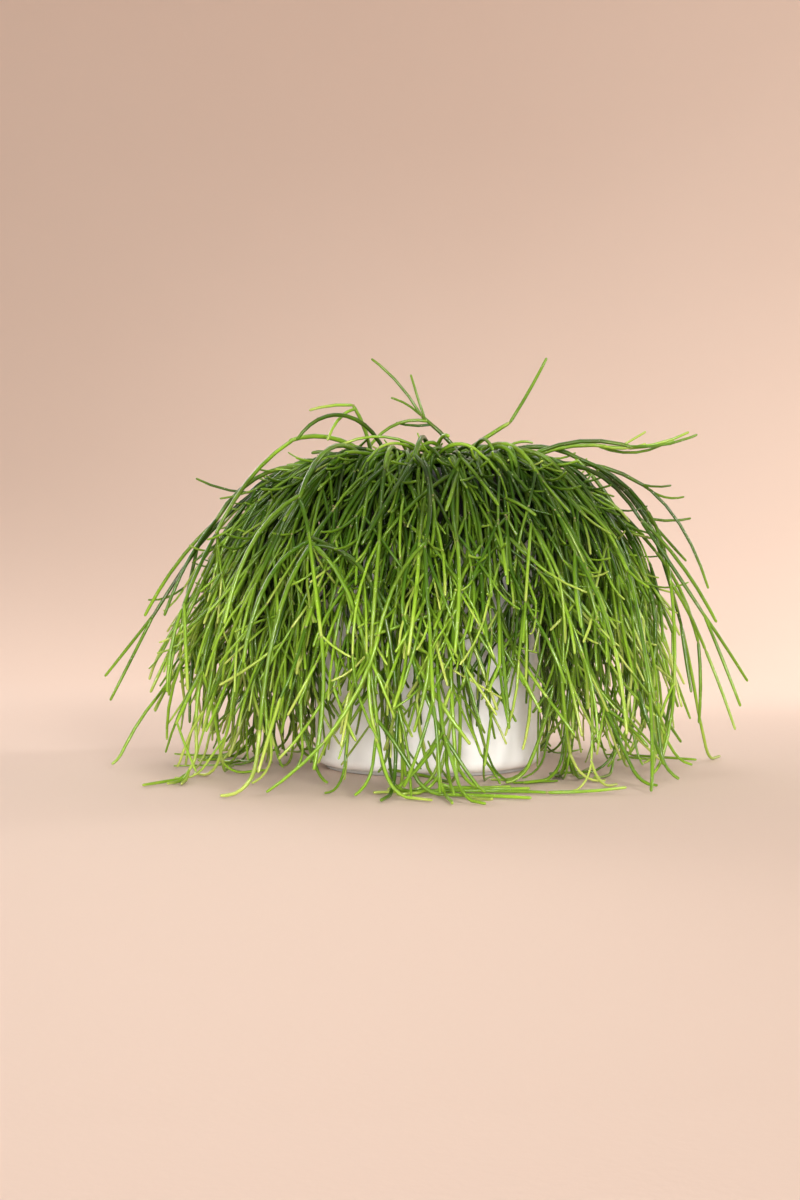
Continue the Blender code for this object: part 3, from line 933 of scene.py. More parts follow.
def worked(operation: str, turned: bool = False) -> Callable[["Socket", "Value"], "Socket"]:
    """Makes an operator of a socket.

    Args:
        operation: The Math node's operation.
        turned: Whether the socket is its second value.

    Returns:
        The operator.
    """
    def operator(socket: "Socket", other: "Value") -> "Socket":
        """Adds the Math node."""
        return socket.graph.math(operation, *((other, socket) if turned else (socket, other)))
    return operator


@dataclass(frozen=True, eq=False)
class Socket:
    """An output of a shader node. Arithmetic on it adds Math nodes."""

    graph: "Graph"
    output: bpy.types.NodeSocket

    __add__ = __radd__ = worked("ADD")
    __mul__ = __rmul__ = worked("MULTIPLY")
    __sub__ = worked("SUBTRACT")
    __rsub__ = worked("SUBTRACT", True)

    def of(self, name: str) -> "Socket":
        """Another output of the same node."""
        return Socket(self.graph, self.output.node.outputs[name])

    def clamped(self, low: float, high: float) -> "Socket":
        """The value's share of the way from low to high, kept within 0 and 1."""
        sockets = {"Value": self, "From Min": low, "From Max": high}
        return self.graph.node("ShaderNodeMapRange", sockets, clamp=True)


Value = Socket | float


class Graph:
    """The nodes of one material, round a Principled shader."""

    def __init__(self, name: str) -> None:
        """Starts the material.

        Args:
            name: Its name.
        """
        self.material = bpy.data.materials.new(name)
        self.material.use_nodes = True
        self.tree = self.material.node_tree
        self.shader = self.tree.nodes["Principled BSDF"]

    def node(self, kind: str, sockets: dict[str | int, Any] | None = None, out: str | int = 0,
             stops: Sequence[tuple[float, Triple]] = (), **settings: Any) -> Socket:
        """Adds one node.

        Args:
            kind: Its type.
            sockets: Values or links of its inputs, by name or number.
            out: The output that is wanted.
            stops: The places and colours of a ramp.
            **settings: Its properties, set first.

        Returns:
            The output.
        """
        node = self.tree.nodes.new(kind)
        for name, value in settings.items():
            setattr(node, name, value)
        for index, (place, colour) in enumerate(stops):
            ramp = node.color_ramp.elements
            element = ramp[index] if index < len(ramp) else ramp.new(place)
            element.position, element.color = place, (*colour, 1.0)
        for name, value in (sockets or {}).items():
            self.feed(node.inputs[name], value)
        return Socket(self, node.outputs[out])

    def feed(self, socket: bpy.types.NodeSocket, value: Any) -> None:
        """Sets an input, or links it.

        Args:
            socket: The input.
            value: A value, a colour, or an output to link.
        """
        if isinstance(value, Socket):
            self.tree.links.new(value.output, socket)
        else:
            socket.default_value = (*value, 1.0) if socket.type == "RGBA" else value

    def math(self, operation: str, a: Value, b: Value) -> Socket:
        """Adds a Math node on two values."""
        return self.node("ShaderNodeMath", {0: a, 1: b}, operation=operation)

    def mix(self, share: Value, a: Any, b: Any) -> Socket:
        """Mixes two colours."""
        return self.node("ShaderNodeMix", {0: share, 6: a, 7: b}, 2, data_type="RGBA")

    def place(self) -> Socket:
        """The point's place on the piece."""
        return self.node("ShaderNodeTexCoord", out="Object")

    def noise(self, scale: float, detail: float = 2.0, roughness: float = 0.5,
              stretch: Sequence[float] = (1, 1, 1)) -> Socket:
        """Adds smooth noise in space.

        Args:
            scale: How many times it changes in a metre.
            detail: How many finer layers it has.
            roughness: How strong the finer layers are.
            stretch: How much finer it is along each axis.

        Returns:
            The noise, about 0.3 to 0.7.
        """
        spot = self.node("ShaderNodeMapping", {"Vector": self.place(), "Scale": stretch})
        return self.node("ShaderNodeTexNoise", {
            "Vector": spot, "Scale": scale, "Detail": detail, "Roughness": roughness})

    def spots(self, scale: float, size: float, soft: float) -> Socket:
        """Adds scattered dots.

        Args:
            scale: How many cells there are in a metre.
            size: Each dot's radius, as a share of a cell.
            soft: The width of its edge, as a share of a cell.

        Returns:
            1 on the dots and 0 between them.
        """
        far = self.node("ShaderNodeTexVoronoi", {"Vector": self.place(), "Scale": scale})
        return 1 - far.clamped(size, size + soft)

    def finish(self, colour: Any, roughness: Value, height: Socket, depth: float,
               **others: Value) -> Material:
        """Feeds the shader.

        Args:
            colour: The base colour.
            roughness: The roughness.
            height: Relief.
            depth: The relief's depth.
            **others: Other inputs, with _ for a space.

        Returns:
            The material.
        """
        normal = self.node("ShaderNodeBump", {"Distance": depth, "Height": height}, "Normal")
        inputs = {"Base Color": colour, "Roughness": roughness, "Normal": normal, **others}
        for name, value in inputs.items():
            self.feed(self.shader.inputs[name.replace("_", " ")], value)
        return self.material


@dataclass(frozen=True)
class Glaze:
    """White satin glaze, with a bare grey foot."""

    foot_height: float
    white: Triple = (0.91, 0.91, 0.89)
    shade: Triple = (0.885, 0.885, 0.87)
    bare: Triple = (0.36, 0.35, 0.33)
    roughness: float = 0.30
    relief: float = 0.00012
    coat: float = 0.20
    coat_roughness: float = 0.20

    def material(self) -> Material:
        """Makes the material.

        Returns:
            The material.
        """
        graph = Graph("white_glaze")
        cloud = graph.noise(14, 3, 0.55)
        grain = graph.noise(900, 1)
        height = graph.node("ShaderNodeSeparateXYZ", {0: graph.place()}, "Z")
        foot = 1 - height.clamped(self.foot_height * 0.7, self.foot_height * 1.2)
        glaze = graph.mix(cloud.clamped(0.35, 0.75), self.white, self.shade)
        colour = graph.mix(foot, glaze, self.bare)
        rough = self.roughness + 0.10 * cloud + 0.4 * foot
        return graph.finish(colour, rough, graph.noise(55, 2) + 0.05 * grain, self.relief,
                            Coat_Weight=self.coat, Coat_Roughness=self.coat_roughness)


@dataclass(frozen=True)
class Plastic:
    """Thin black nursery plastic, dusty with mix and specks of perlite."""

    black: Triple = (0.012, 0.012, 0.013)
    dust: Triple = (0.032, 0.027, 0.022)
    speck: Triple = (0.62, 0.60, 0.56)
    roughness: float = 0.48
    relief: float = 0.00012

    def material(self) -> Material:
        """Makes the material.

        Returns:
            The material.
        """
        graph = Graph("black_plastic")
        dusty = graph.noise(38, 5, 0.65).clamped(0.48, 0.72)
        some = graph.noise(70, 1).clamped(0.54, 0.60)
        specks = graph.spots(260, 0.20, 0.06) * some
        colour = graph.mix(specks, graph.mix(dusty, self.black, self.dust), self.speck)
        rough = self.roughness + 0.25 * dusty + 0.2 * specks
        return graph.finish(colour, rough, graph.noise(700, 2) + specks, self.relief)


@dataclass(frozen=True)
class Crumb:
    """Dark, damp and crumbly stuff: the mix itself, its bark or its perlite."""

    name: str
    dark: Triple
    light: Triple
    grain: float
    stretch: Triple = (1, 1, 1)
    roughness: float = 0.9
    relief: float = 0.0006

    def material(self) -> Material:
        """Makes the material.

        Returns:
            The material.
        """
        graph = Graph(self.name)
        coarse = graph.noise(self.grain, 5, 0.7, self.stretch)
        fine = graph.noise(self.grain * 4, 3, 0.6)
        colour = graph.mix(coarse.clamped(0.36, 0.66), self.dark, self.light)
        return graph.finish(colour, self.roughness - 0.25 * fine, coarse + 0.5 * fine, self.relief)


MIX_FINISH = Crumb("potting_mix", (0.012, 0.008, 0.006), (0.075, 0.048, 0.032), 160)
BARK_FINISH = Crumb("bark", (0.045, 0.024, 0.013), (0.17, 0.095, 0.052), 130, (1, 4, 1), 0.85, 0.0005)
PERLITE_FINISH = Crumb("perlite", (0.52, 0.50, 0.46), (0.80, 0.79, 0.75), 420, (1, 1, 1), 0.95, 0.0004)


class Mark(Enum):
    """The attributes that a stem's mesh carries for its finish; the growth attribute's alpha holds painted
    light and shade.
    """

    GROWTH = "growth"
    JOINT = "joint"


@dataclass(frozen=True)
class Green:
    """Skin of the stems: green by stem, yellower at young tips, tan at the joints, with painted shade on
    stems far inside the mop and painted light on those near its outside.
    """

    # Darkest green of old stems, and also the painted shade far inside the mop.
    deep_green_and_shade: Triple = (0.004, 0.012, 0.001)
    leaf: Triple = (0.049, 0.126, 0.002)
    bright: Triple = (0.222, 0.388, 0.022)
    tip: Triple = (0.400, 0.480, 0.095)
    wood: Triple = (0.090, 0.078, 0.018)
    scar: Triple = (0.300, 0.230, 0.120)
    dot: Triple = (0.520, 0.560, 0.330)
    roughness: float = 0.44
    relief: float = 0.00016

    def material(self) -> Material:
        """Makes the material.

        Returns:
            The material.
        """
        graph = Graph("green_stem")
        growth = graph.node("ShaderNodeAttribute", out="Color", attribute_name=Mark.GROWTH.value)
        joint = graph.node("ShaderNodeAttribute", out="Fac", attribute_name=Mark.JOINT.value)
        near_tip = graph.node("ShaderNodeSeparateColor", {0: growth}, "Red")
        # The growth attribute's alpha is the painted light: high near the mop's outside, low far inside.
        tint, youth, painted_light = near_tip.of("Green"), near_tip.of("Blue"), growth.of("Alpha")
        cloud = graph.noise(45, 3)
        # Painted light pushes stems near the mop's outside towards the brighter greens.
        fresh_and_lit = 0.46 * tint + 0.26 * youth + 0.40 * (cloud - 0.5) + 0.14 * near_tip + 0.26 * painted_light
        skin = graph.node("ShaderNodeValToRGB", {0: fresh_and_lit}, stops=(
            (0.04, self.deep_green_and_shade), (0.40, self.leaf), (0.80, self.bright), (1.0, self.tip)))
        # Yellow young tips show only where the painted light is high.
        ripe_where_lit = near_tip * youth * (0.25 + tint) * painted_light
        skin = graph.mix(ripe_where_lit.clamped(0.38, 1.90), skin, self.tip)
        old = (1 - youth).clamped(0.72, 1.0) * graph.noise(70, 4, 0.7).clamped(0.45, 0.68)
        skin = graph.mix(0.5 * old, skin, self.wood)
        # Painted shade: stems far inside the mop are mixed towards the darkest green.
        skin = graph.mix(0.86 * (1 - painted_light), skin, self.deep_green_and_shade)
        skin = graph.mix(0.45 * graph.spots(230, 0.10, 0.05), skin, self.dot)
        skin = graph.mix(joint.clamped(0.30, 0.95), skin, self.scar)
        rough = self.roughness + 0.16 * (cloud - 0.5) + 0.3 * joint
        relief = graph.noise(520, 3, 0.6) + 0.35 * graph.noise(1600, 1)
        # Painted shade also weakens the coat's sheen on stems far inside the mop.
        return graph.finish(skin, rough, relief, self.relief, Specular_IOR_Level=0.12,
                            Coat_Weight=0.10 + 0.34 * painted_light, Coat_Roughness=0.13, Coat_IOR=1.55)


@dataclass(frozen=True)
class Paper:
    """The studio's pale matt backdrop."""

    colour: Triple = (0.725, 0.568, 0.475)
    cast: Triple = (0.708, 0.550, 0.457)
    roughness: float = 0.9
    relief: float = 0.0001

    def material(self) -> Material:
        """Makes the material.

        Returns:
            The material.
        """
        graph = Graph("backdrop_paper")
        colour = graph.mix(graph.noise(0.8, 2).clamped(0.3, 0.7), self.colour, self.cast)
        return graph.finish(colour, self.roughness, graph.noise(300, 2), self.relief)


# Modelling: edit-mode operators, and the pieces made with them.


def select(*things: Thing) -> None:
    """Selects these objects alone, and makes the first of them active."""
    bpy.ops.object.select_all(action="DESELECT")
    for thing in reversed(things):
        thing.select_set(True)
        bpy.context.view_layer.objects.active = thing


def as_piece(thing: Thing, material: Material, slot: Slot, node: str | None) -> None:
    """Dresses an object and ties it to the frame.

    Args:
        thing: The object.
        material: Its material.
        slot: Not used.
        node: The frame's node that it replaces, if it does.
    """
    thing.data.materials.clear()
    thing.data.materials.append(material)
    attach(thing, BODY)
    if node:
        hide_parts(node)
    LOG.info("%s: %d faces", thing.name, len(thing.data.polygons))


class Workpiece:
    """An object that is shaped by operators, as by hand."""

    touch = 0.0005
    flat = 0.99

    def __init__(self, name: str) -> None:
        """Takes the primitive that was just added.

        Args:
            name: The object's name.
        """
        self.thing = bpy.context.active_object
        self.thing.name = name
        bpy.ops.object.transform_apply(location=True, rotation=True, scale=True)

    @classmethod
    def cone(cls, name: str, low: Pair, high: Pair, sides: int) -> "Workpiece":
        """Adds an upright cone or cylinder on the axis.

        Args:
            name: The object's name.
            low: Radius and height of its lower end.
            high: Radius and height of its upper end.
            sides: How many sides it has.

        Returns:
            The workpiece.
        """
        select()
        bpy.ops.mesh.primitive_cone_add(
            vertices=sides, radius1=low[0], radius2=high[0], depth=high[1] - low[1],
            location=(0, 0, (low[1] + high[1]) / 2))
        return cls(name)

    @classmethod
    def ball(cls, name: str, detail: int, scale: Triple) -> "Workpiece":
        """Adds a faceted ball, squashed, at the origin."""
        select()
        bpy.ops.mesh.primitive_ico_sphere_add(subdivisions=detail, radius=1.0, scale=scale)
        return cls(name)

    @contextmanager
    def edited(self) -> Iterator[None]:
        """Opens the object in edit mode, with nothing selected."""
        bpy.context.view_layer.objects.active = self.thing
        bpy.ops.object.mode_set(mode="EDIT")
        bpy.ops.mesh.select_all(action="DESELECT")
        try:
            yield
        finally:
            bpy.ops.object.mode_set(mode="OBJECT")

    def pick(self, kind: str, fits: Callable[[Any], bool]) -> None:
        """Selects the faces or edges that pass a test.

        Args:
            kind: FACE or EDGE.
            fits: The test.
        """
        bpy.ops.mesh.select_mode(type=kind)
        bpy.ops.mesh.select_all(action="DESELECT")
        shape = bmesh.from_edit_mesh(self.thing.data)
        for element in filter(fits, list(shape.faces if kind == "FACE" else shape.edges)):
            element.select = True
        bmesh.update_edit_mesh(self.thing.data)

    def pick_cap(self, up: bool) -> None:
        """Selects the outermost flat faces that look up, or down.

        Args:
            up: Whether they look up.
        """
        sign = 1 if up else -1
        faces = bmesh.from_edit_mesh(self.thing.data).faces
        last = max(face.calc_center_median().z * sign for face in faces if face.normal.z * sign > self.flat)
        self.pick("FACE", lambda face: face.normal.z * sign > self.flat
                  and face.calc_center_median().z * sign > last - self.touch)

    def rounded(self, radius: float, height: float, width: float, segments: int) -> None:
        """Rounds the ring of edges at a radius and a height.

        Args:
            radius: The radius.
            height: The height.
            width: The rounding's width.
            segments: How many steps it has.
        """
        self.pick("EDGE", lambda edge: all(
            abs(vert.co.z - height) < self.touch
            and abs(math.hypot(vert.co.x, vert.co.y) - radius) < self.touch for vert in edge.verts))
        bpy.ops.mesh.bevel(offset=width, segments=segments, affect="EDGES", clamp_overlap=False)

    @staticmethod
    def inset(width: float) -> None:
        """Insets the selected faces."""
        bpy.ops.mesh.inset(thickness=width)

    @staticmethod
    def extruded(rise: float, scale: float = 1.0) -> None:
        """Extrudes the selected faces along the axis, and widens or narrows their end."""
        bpy.ops.mesh.extrude_region_move(TRANSFORM_OT_translate={"value": (0, 0, rise)})
        bpy.ops.transform.resize(value=(scale, scale, 1))

    def modified(self, kind: str, **settings: Any) -> None:
        """Adds a modifier and applies it.

        Args:
            kind: The modifier's type.
            **settings: Its properties.
        """
        select(self.thing)
        modifier = self.thing.modifiers.new(kind.lower(), kind)
        for name, value in settings.items():
            setattr(modifier, name, value)
        bpy.ops.object.modifier_apply(modifier=modifier.name)

    def piece(self, material: Material, slot: Slot, node: str | None, sharp: float = 30) -> None:
        """Finishes the object as a piece of the part.

        Args:
            material: Its material.
            slot: The record's slot of its finish.
            node: The frame's node that it replaces, if it does.
            sharp: The angle in degrees from which an edge stays sharp.
        """
        select(self.thing)
        bpy.ops.object.shade_smooth_by_angle(angle=math.radians(sharp))
        as_piece(self.thing, material, slot, node)


@dataclass
class CoverPot:
    """The white pot: straight wall, rounded rim and corner, low foot with a hollow under it."""

    vessel: Vessel
    corner: float = 0.009
    inner_fillet: float = 0.006
    foot_radius: float = 0.0905
    foot_height: float = 0.003
    foot_width: float = 0.006
    foot_hollow: float = 0.0015
    foot_round: float = 0.0006
    sides: int = 160

    def build(self) -> None:
        """Models the pot."""
        radius, height, wall = self.vessel.pot_radius, self.vessel.pot_height, self.vessel.pot_wall
        floor, rim = self.vessel.pot_base, self.vessel.pot_rim_round
        pot = Workpiece.cone("cover_pot", (radius, self.foot_height), (radius, height), self.sides)
        with pot.edited():
            pot.pick_cap(up=True)
            pot.inset(wall)
            pot.extruded(floor - height)
            pot.pick_cap(up=False)
            pot.inset(radius - self.foot_radius)
            pot.extruded(-self.foot_height)
            pot.inset(self.foot_width)
            pot.extruded(self.foot_hollow)
            pot.rounded(self.foot_radius, 0, self.foot_round, 3)
            pot.rounded(radius, self.foot_height, self.corner, 8)
            pot.rounded(radius - wall, floor, self.inner_fillet, 5)
            pot.rounded(radius - wall, height, rim, 4)
            pot.rounded(radius, height, rim, 5)
        pot.piece(Glaze(self.foot_height).material(), Slot.GLAZE, "pot")


@dataclass
class GrowerPot:
    """The black pot that the plant was raised in, with a lip and drain holes."""

    vessel: Vessel
    lip_round: float = 0.0009
    drain_radius: float = 0.005
    drain_ring: float = 0.045
    drain_count: int = 4
    drain_sides: int = 24
    sides: int = 128

    def build(self) -> None:
        """Models the pot."""
        vessel = self.vessel
        ledge = vessel.grower_top - vessel.lip_height
        floor = vessel.grower_bottom + vessel.grower_base
        under, neck = vessel.grower_radius(vessel.grower_bottom), vessel.grower_radius(ledge)
        narrow = (vessel.grower_radius(floor) - vessel.grower_wall) / vessel.rim_inside
        pot = Workpiece.cone("nursery_pot", (under, vessel.grower_bottom), (neck, ledge), self.sides)
        with pot.edited():
            pot.pick_cap(up=True)
            pot.extruded(0, vessel.lip_radius / neck)
            pot.extruded(vessel.lip_height)
            pot.inset(vessel.lip_radius - vessel.rim_inside)
            pot.extruded(floor - vessel.grower_top, narrow)
            pot.rounded(vessel.lip_radius, vessel.grower_top, self.lip_round, 3)
            pot.rounded(vessel.lip_radius, ledge, self.lip_round / 2, 2)
            pot.rounded(under, vessel.grower_bottom, vessel.grower_wall, 3)
        self.drilled(pot, floor)
        pot.piece(Plastic().material(), Slot.PLASTIC, "grower_pot")

    def drilled(self, pot: Workpiece, floor: float) -> None:
        """Cuts the drain holes.

        Args:
            pot: The pot.
            floor: The height of its floor.
        """
        low, high = self.vessel.grower_bottom - self.vessel.grower_base, floor + self.vessel.grower_base
        for index in range(self.drain_count):
            turn = math.tau * (index + 0.5) / self.drain_count
            drill = Workpiece.cone("drill", (self.drain_radius, low), (self.drain_radius, high),
                                   self.drain_sides)
            drill.thing.location = (self.drain_ring * math.cos(turn), self.drain_ring * math.sin(turn), 0)
            pot.modified("BOOLEAN", operation="DIFFERENCE", object=drill.thing)
            bpy.data.objects.remove(drill.thing)


@dataclass(frozen=True)
class Chips:
    """Loose chips: how many there are, their least and greatest half length, and their form."""

    name: str
    count: int
    sizes: Pair
    form: Triple
    finish: Crumb


@dataclass
class PottingMix:
    """The mix in the grower pot, with bark and perlite on it."""

    vessel: Vessel
    gap: float = 0.0003
    sides: int = 72
    rings: int = 18
    sharp: float = 60
    lump_size: float = 0.011
    lump_layers: int = 3
    lump_height: float = 0.0075
    lump_middle: float = 0.62
    chips: tuple[Chips, ...] = (
        Chips("bark_chips", 300, (0.0022, 0.0060), (1.0, 0.62, 0.36), BARK_FINISH),
        Chips("perlite_grains", 130, (0.0009, 0.0022), (1.0, 0.9, 0.8), PERLITE_FINISH),
    )
    roughening: float = 0.22
    lift: Pair = (-0.5, 0.35)
    tilt: float = 0.5
    stretch: Pair = (0.7, 1.3)
    edge: float = 0.005
    seed: int = 5

    def build(self) -> None:
        """Models the mix and what lies on it."""
        for chips in self.chips:
            self.scattered(chips)
        self.bed()

    def bed(self) -> None:
        """Models the mix itself, lumpy on top."""
        vessel = self.vessel
        low = vessel.grower_bottom + vessel.grower_base + self.gap
        inset = vessel.grower_wall + self.gap
        top_radius = vessel.grower_radius(vessel.mix_top) - inset
        bed = Workpiece.cone("mix_bed", (vessel.grower_radius(low) - inset, low),
                             (top_radius, vessel.mix_top), self.sides)
        with bed.edited():
            bed.pick_cap(up=True)
            for _ in range(self.rings):
                bed.inset(top_radius / (self.rings + 1))
        lumps = bpy.data.textures.new("lumps", "CLOUDS")
        lumps.noise_scale, lumps.noise_depth = self.lump_size, self.lump_layers
        top = bed.thing.vertex_groups.new(name="top")
        level, inner = vessel.mix_top - Workpiece.touch, top_radius - self.edge / 2
        top.add([vert.index for vert in bed.thing.data.vertices
                 if vert.co.z > level and math.hypot(vert.co.x, vert.co.y) < inner], 1.0, "REPLACE")
        bed.modified("DISPLACE", texture=lumps, strength=self.lump_height, mid_level=self.lump_middle,
                     direction="Z", vertex_group="top")
        bpy.data.textures.remove(lumps)
        bed.piece(MIX_FINISH.material(), Slot.MIX, "potting_mix", self.sharp)

    def scattered(self, chips: Chips) -> None:
        """Strews copies of one chip over the mix.

        Args:
            chips: The chips.
        """
        rng = random.Random(f"{chips.name}{self.seed}")
        model = Workpiece.ball(chips.name, 1, chips.form)
        with model.edited():
            bpy.ops.mesh.select_all(action="SELECT")
            bpy.ops.transform.vertex_random(offset=self.roughening, seed=self.seed)
        reach = self.vessel.rim_inside - self.edge
        copies = []
        for _ in range(chips.count):
            chip = model.thing.copy()
            chip.data = model.thing.data.copy()
            bpy.context.collection.objects.link(chip)
            size, turn = rng.uniform(*chips.sizes), rng.uniform(0, math.tau)
            away = (reach - size) * math.sqrt(rng.random())
            height = self.vessel.mix_top + rng.uniform(*self.lift) * size
            chip.location = (away * math.cos(turn), away * math.sin(turn), height)
            tilts = rng.gauss(0, self.tilt), rng.gauss(0, self.tilt)
            chip.rotation_euler = (*tilts, rng.uniform(0, math.tau))
            chip.scale = (size, size * rng.uniform(*self.stretch), size * rng.uniform(*self.stretch))
            copies.append(chip)
        bpy.data.objects.remove(model.thing)
        select(*copies)
        bpy.ops.object.join()
        Workpiece(chips.name).piece(chips.finish.material(), Slot.MIX, None)


@dataclass(frozen=True)
class StemForm:
    """How a stem's tube is shaped and marked: widths are shares of its radius.

    The rings' share of the outline's reach (outward) and their height (shaded, upward) set their
    painted light and shade: darker far inside the mop and just under its top, lighter near its
    outside, low down and at the very top.
    """

    depth: float = 0.001
    sides: int = 6
    sunk: float = 0.0018
    neck: float = 0.62
    neck_run: float = 0.0046
    turn: float = math.radians(8.5)
    longest: float = 0.018
    taper: float = 0.86
    taper_run: float = 0.022
    swell: float = 0.05
    tip: tuple[Pair, ...] = ((1.15, 0.97), (0.45, 0.74), (0.0, 0.0))
    pole: float = 0.01
    tip_run: float = 0.038
    tip_joint: float = 0.5
    age_play: float = 0.22
    age_by_rank: float = 0.5
    age_of_forked: float = 0.2
    young: tuple[Row, Row] = ((0.0011, 0.0020), (1, 0))
    # Painted light and shade: rings far inside the mop and just under its top are painted darker, rings near
    # its outside, low down and at the very top lighter.
    outward: tuple[Row, Row] = ((0.66, 1.00), (0, 1))
    shaded: tuple[Row, Row] = ((0.06, 0.17, 0.25, 0.285), (1, 0.78, 0.46, 1))
    lit_by_height: tuple[Row, Row] = ((0.03, 0.12, 0.20, 0.255, 0.290), (0.7, 0.26, 0, 0, 0.8))

    def stations(self, line: Array, radius: float, rooted: bool,
                 rng: random.Random) -> tuple[Array, Array, Array]:
        """Places the rings of a stem's tube.

        Args:
            line: The stem's points, one step apart.
            radius: Its radius.
            rooted: Whether it grows out of the mix.
            rng: Draws how it swells and narrows.

        Returns:
            The rings' centres, their radii, and their distances from the stem's base.
        """
        if not rooted:
            line = np.concatenate([line[:1] - self.sunk * unit(line[1] - line[0]), line])
        steps = np.linalg.norm(np.diff(line, axis=0), axis=1)
        run = np.concatenate([[0], np.cumsum(steps)])
        whole = run[-1]
        last = whole - self.tip[0][0] * radius
        ways = np.diff(line, axis=0) / steps[:, None]
        places, kept = [0.0, self.depth / 2, self.neck_run], ways[0]
        for index in range(1, len(ways)):
            far = run[index] - places[-1]
            bends = math.acos(min(1.0, float(ways[index] @ kept))) > self.turn
            if far > self.neck_run and (bends or far > self.longest) and run[index] < last - radius:
                places.append(run[index])
                kept = ways[index]
        body = len(places)
        places = np.array(places + [whole - back * radius for back, _ in self.tip])
        widths = np.ones(len(places))
        widths[2:body] += [rng.uniform(-self.swell, self.swell) for _ in range(body - 2)]
        widths[:2] = self.pole * self.depth / radius, self.neck
        near = np.clip((whole - places) / self.taper_run, 0, 1)
        widths[2:body] *= self.taper + (1 - self.taper) * near[2:body]
        widths[body:] = [self.taper * width for _, width in self.tip]
        widths[-1] = self.pole * self.depth / radius
        centres = np.stack([np.interp(places, run, line[:, axis]) for axis in range(3)], axis=1)
        return centres, widths * radius, places

    def growth_and_light_marks(self, stem: Stem, centres: Array, places: Array, rng: random.Random) -> Array:
        """Says how near its tip each ring is, the stem's tint and youth, and each ring's painted light and
        shade, which follows how near the mop's outside it is and its height.

        Args:
            stem: The stem.
            centres: The rings' centres.
            places: Their distances from the stem's base.
            rng: Draws the tint.

        Returns:
            Four numbers for each ring.
        """
        x, y, height = centres.T
        near = np.clip(1 - (places[-1] - places) / self.tip_run, 0, 1)
        play = rng.uniform(-self.age_play, self.age_play)
        young = self.age_by_rank * stem.rank / max(RANKS)
        young += (1 - self.age_by_rank) * float(np.interp(stem.radius, *self.young))
        youth = min(max(young + play - (self.age_of_forked if stem.forks else 0), 0), 1)
        # Painted light and shade of each ring: low far inside the mop, high near its outside, raised low
        # down and at the very top.
        away = np.interp(np.hypot(x, y) / FillGrowth.outline.most(height), *self.outward)
        painted_light = away * np.interp(height, *self.shaded) + np.interp(height, *self.lit_by_height)
        whole = np.ones(len(places))
        return np.column_stack([near, rng.random() * whole, youth * whole, np.clip(painted_light, 0, 1)])

    def joint_marks(self, places: Array, rooted: bool) -> Array:
        """Says how near a joint each ring of a stem is.

        Args:
            places: The rings' distances from the stem's base.
            rooted: Whether it grows out of the mix, and so from no joint.

        Returns:
            1 at a joint, down to 0 where its neck ends.
        """
        marks = (0 if rooted else 1) * np.clip(1 - places / self.neck_run, 0, 1)
        marks[-1] = self.tip_joint
        return marks


@dataclass
class SprayPiece:
    """One spray, main and finer stems, as one mesh of tubes."""

    index: int
    stems: list[Stem]
    vessel: Vessel
    form: StemForm = StemForm()

    def build(self, material: Material) -> None:
        """Models the spray.

        Args:
            material: The stems' material.
        """
        rng = random.Random(f"spray {self.index}")
        name = f"stems_{self.index:02d}"
        curve = bpy.data.curves.new(name, "CURVE")
        curve.dimensions = "3D"
        curve.bevel_mode = "ROUND"
        curve.bevel_depth = self.form.depth
        curve.bevel_resolution = self.form.sides // 2 - 2
        curve.use_fill_caps = False
        growth, joints, poles, ring = [], [], [], 0
        for stem in self.stems:
            rooted = self.rooted(stem)
            centres, radii, places = self.form.stations(stem.line, stem.radius, rooted, rng)
            self.add_line(curve, centres, radii)
            # The growth marks carry each ring's painted light and shade as well.
            growth.append(self.form.growth_and_light_marks(stem, centres, places, rng))
            joints.append(self.form.joint_marks(places, rooted))
            poles += [ring, ring + len(places) - 1]
            ring += len(places)
        thing = bpy.data.objects.new(name, curve)
        bpy.context.collection.objects.link(thing)
        select(thing)
        bpy.ops.object.convert(target="MESH")
        self.marked(thing.data, Mark.GROWTH, "FLOAT_COLOR", "color", np.concatenate(growth))
        self.marked(thing.data, Mark.JOINT, "FLOAT", "value", np.concatenate(joints))
        self.closed(thing.data, poles)
        bpy.ops.object.shade_smooth()
        as_piece(thing, material, Slot.STEM, f"spray_{self.index:02d}")

    def rooted(self, stem: Stem) -> bool:
        """Whether a stem grows out of the mix."""
        x, y, height = stem.line[0]
        return height < self.vessel.mix_top and math.hypot(x, y) < self.vessel.rim_inside

    def add_line(self, curve: bpy.types.Curve, centres: Array, radii: Array) -> None:
        """Adds one stem's middle line to the curve.

        Args:
            curve: The curve.
            centres: The rings' centres.
            radii: Their radii.
        """
        line = curve.splines.new("POLY")
        line.points.add(len(centres) - 1)
        line.points.foreach_set("co", np.column_stack([centres, np.ones(len(centres))]).ravel())
        line.points.foreach_set("radius", radii / self.form.depth)

    def marked(self, mesh: bpy.types.Mesh, mark: Mark, kind: str, key: str, values: Array) -> None:
        """Writes one mark of the rings to the mesh, whose points run ring by ring.

        Args:
            mesh: The mesh.
            mark: The mark.
            kind: The attribute's type.
            key: The name of its values.
            values: The mark of each ring.
        """
        layer = mesh.attributes.new(mark.value, kind, "POINT")
        layer.data.foreach_set(key, np.repeat(values, self.form.sides, axis=0).ravel())

    def closed(self, mesh: bpy.types.Mesh, poles: Iterable[int]) -> None:
        """Draws the end rings together to closed poles.

        Args:
            mesh: The mesh.
            poles: The numbers of the end rings.
        """
        shape = bmesh.new()
        shape.from_mesh(mesh)
        shape.verts.ensure_lookup_table()
        sides = self.form.sides
        welds = {shape.verts[sides * ring + side]: shape.verts[sides * ring]
                 for ring in poles for side in range(1, sides)}
        bmesh.ops.weld_verts(shape, targetmap=welds)
        shape.to_mesh(mesh)
        shape.free()


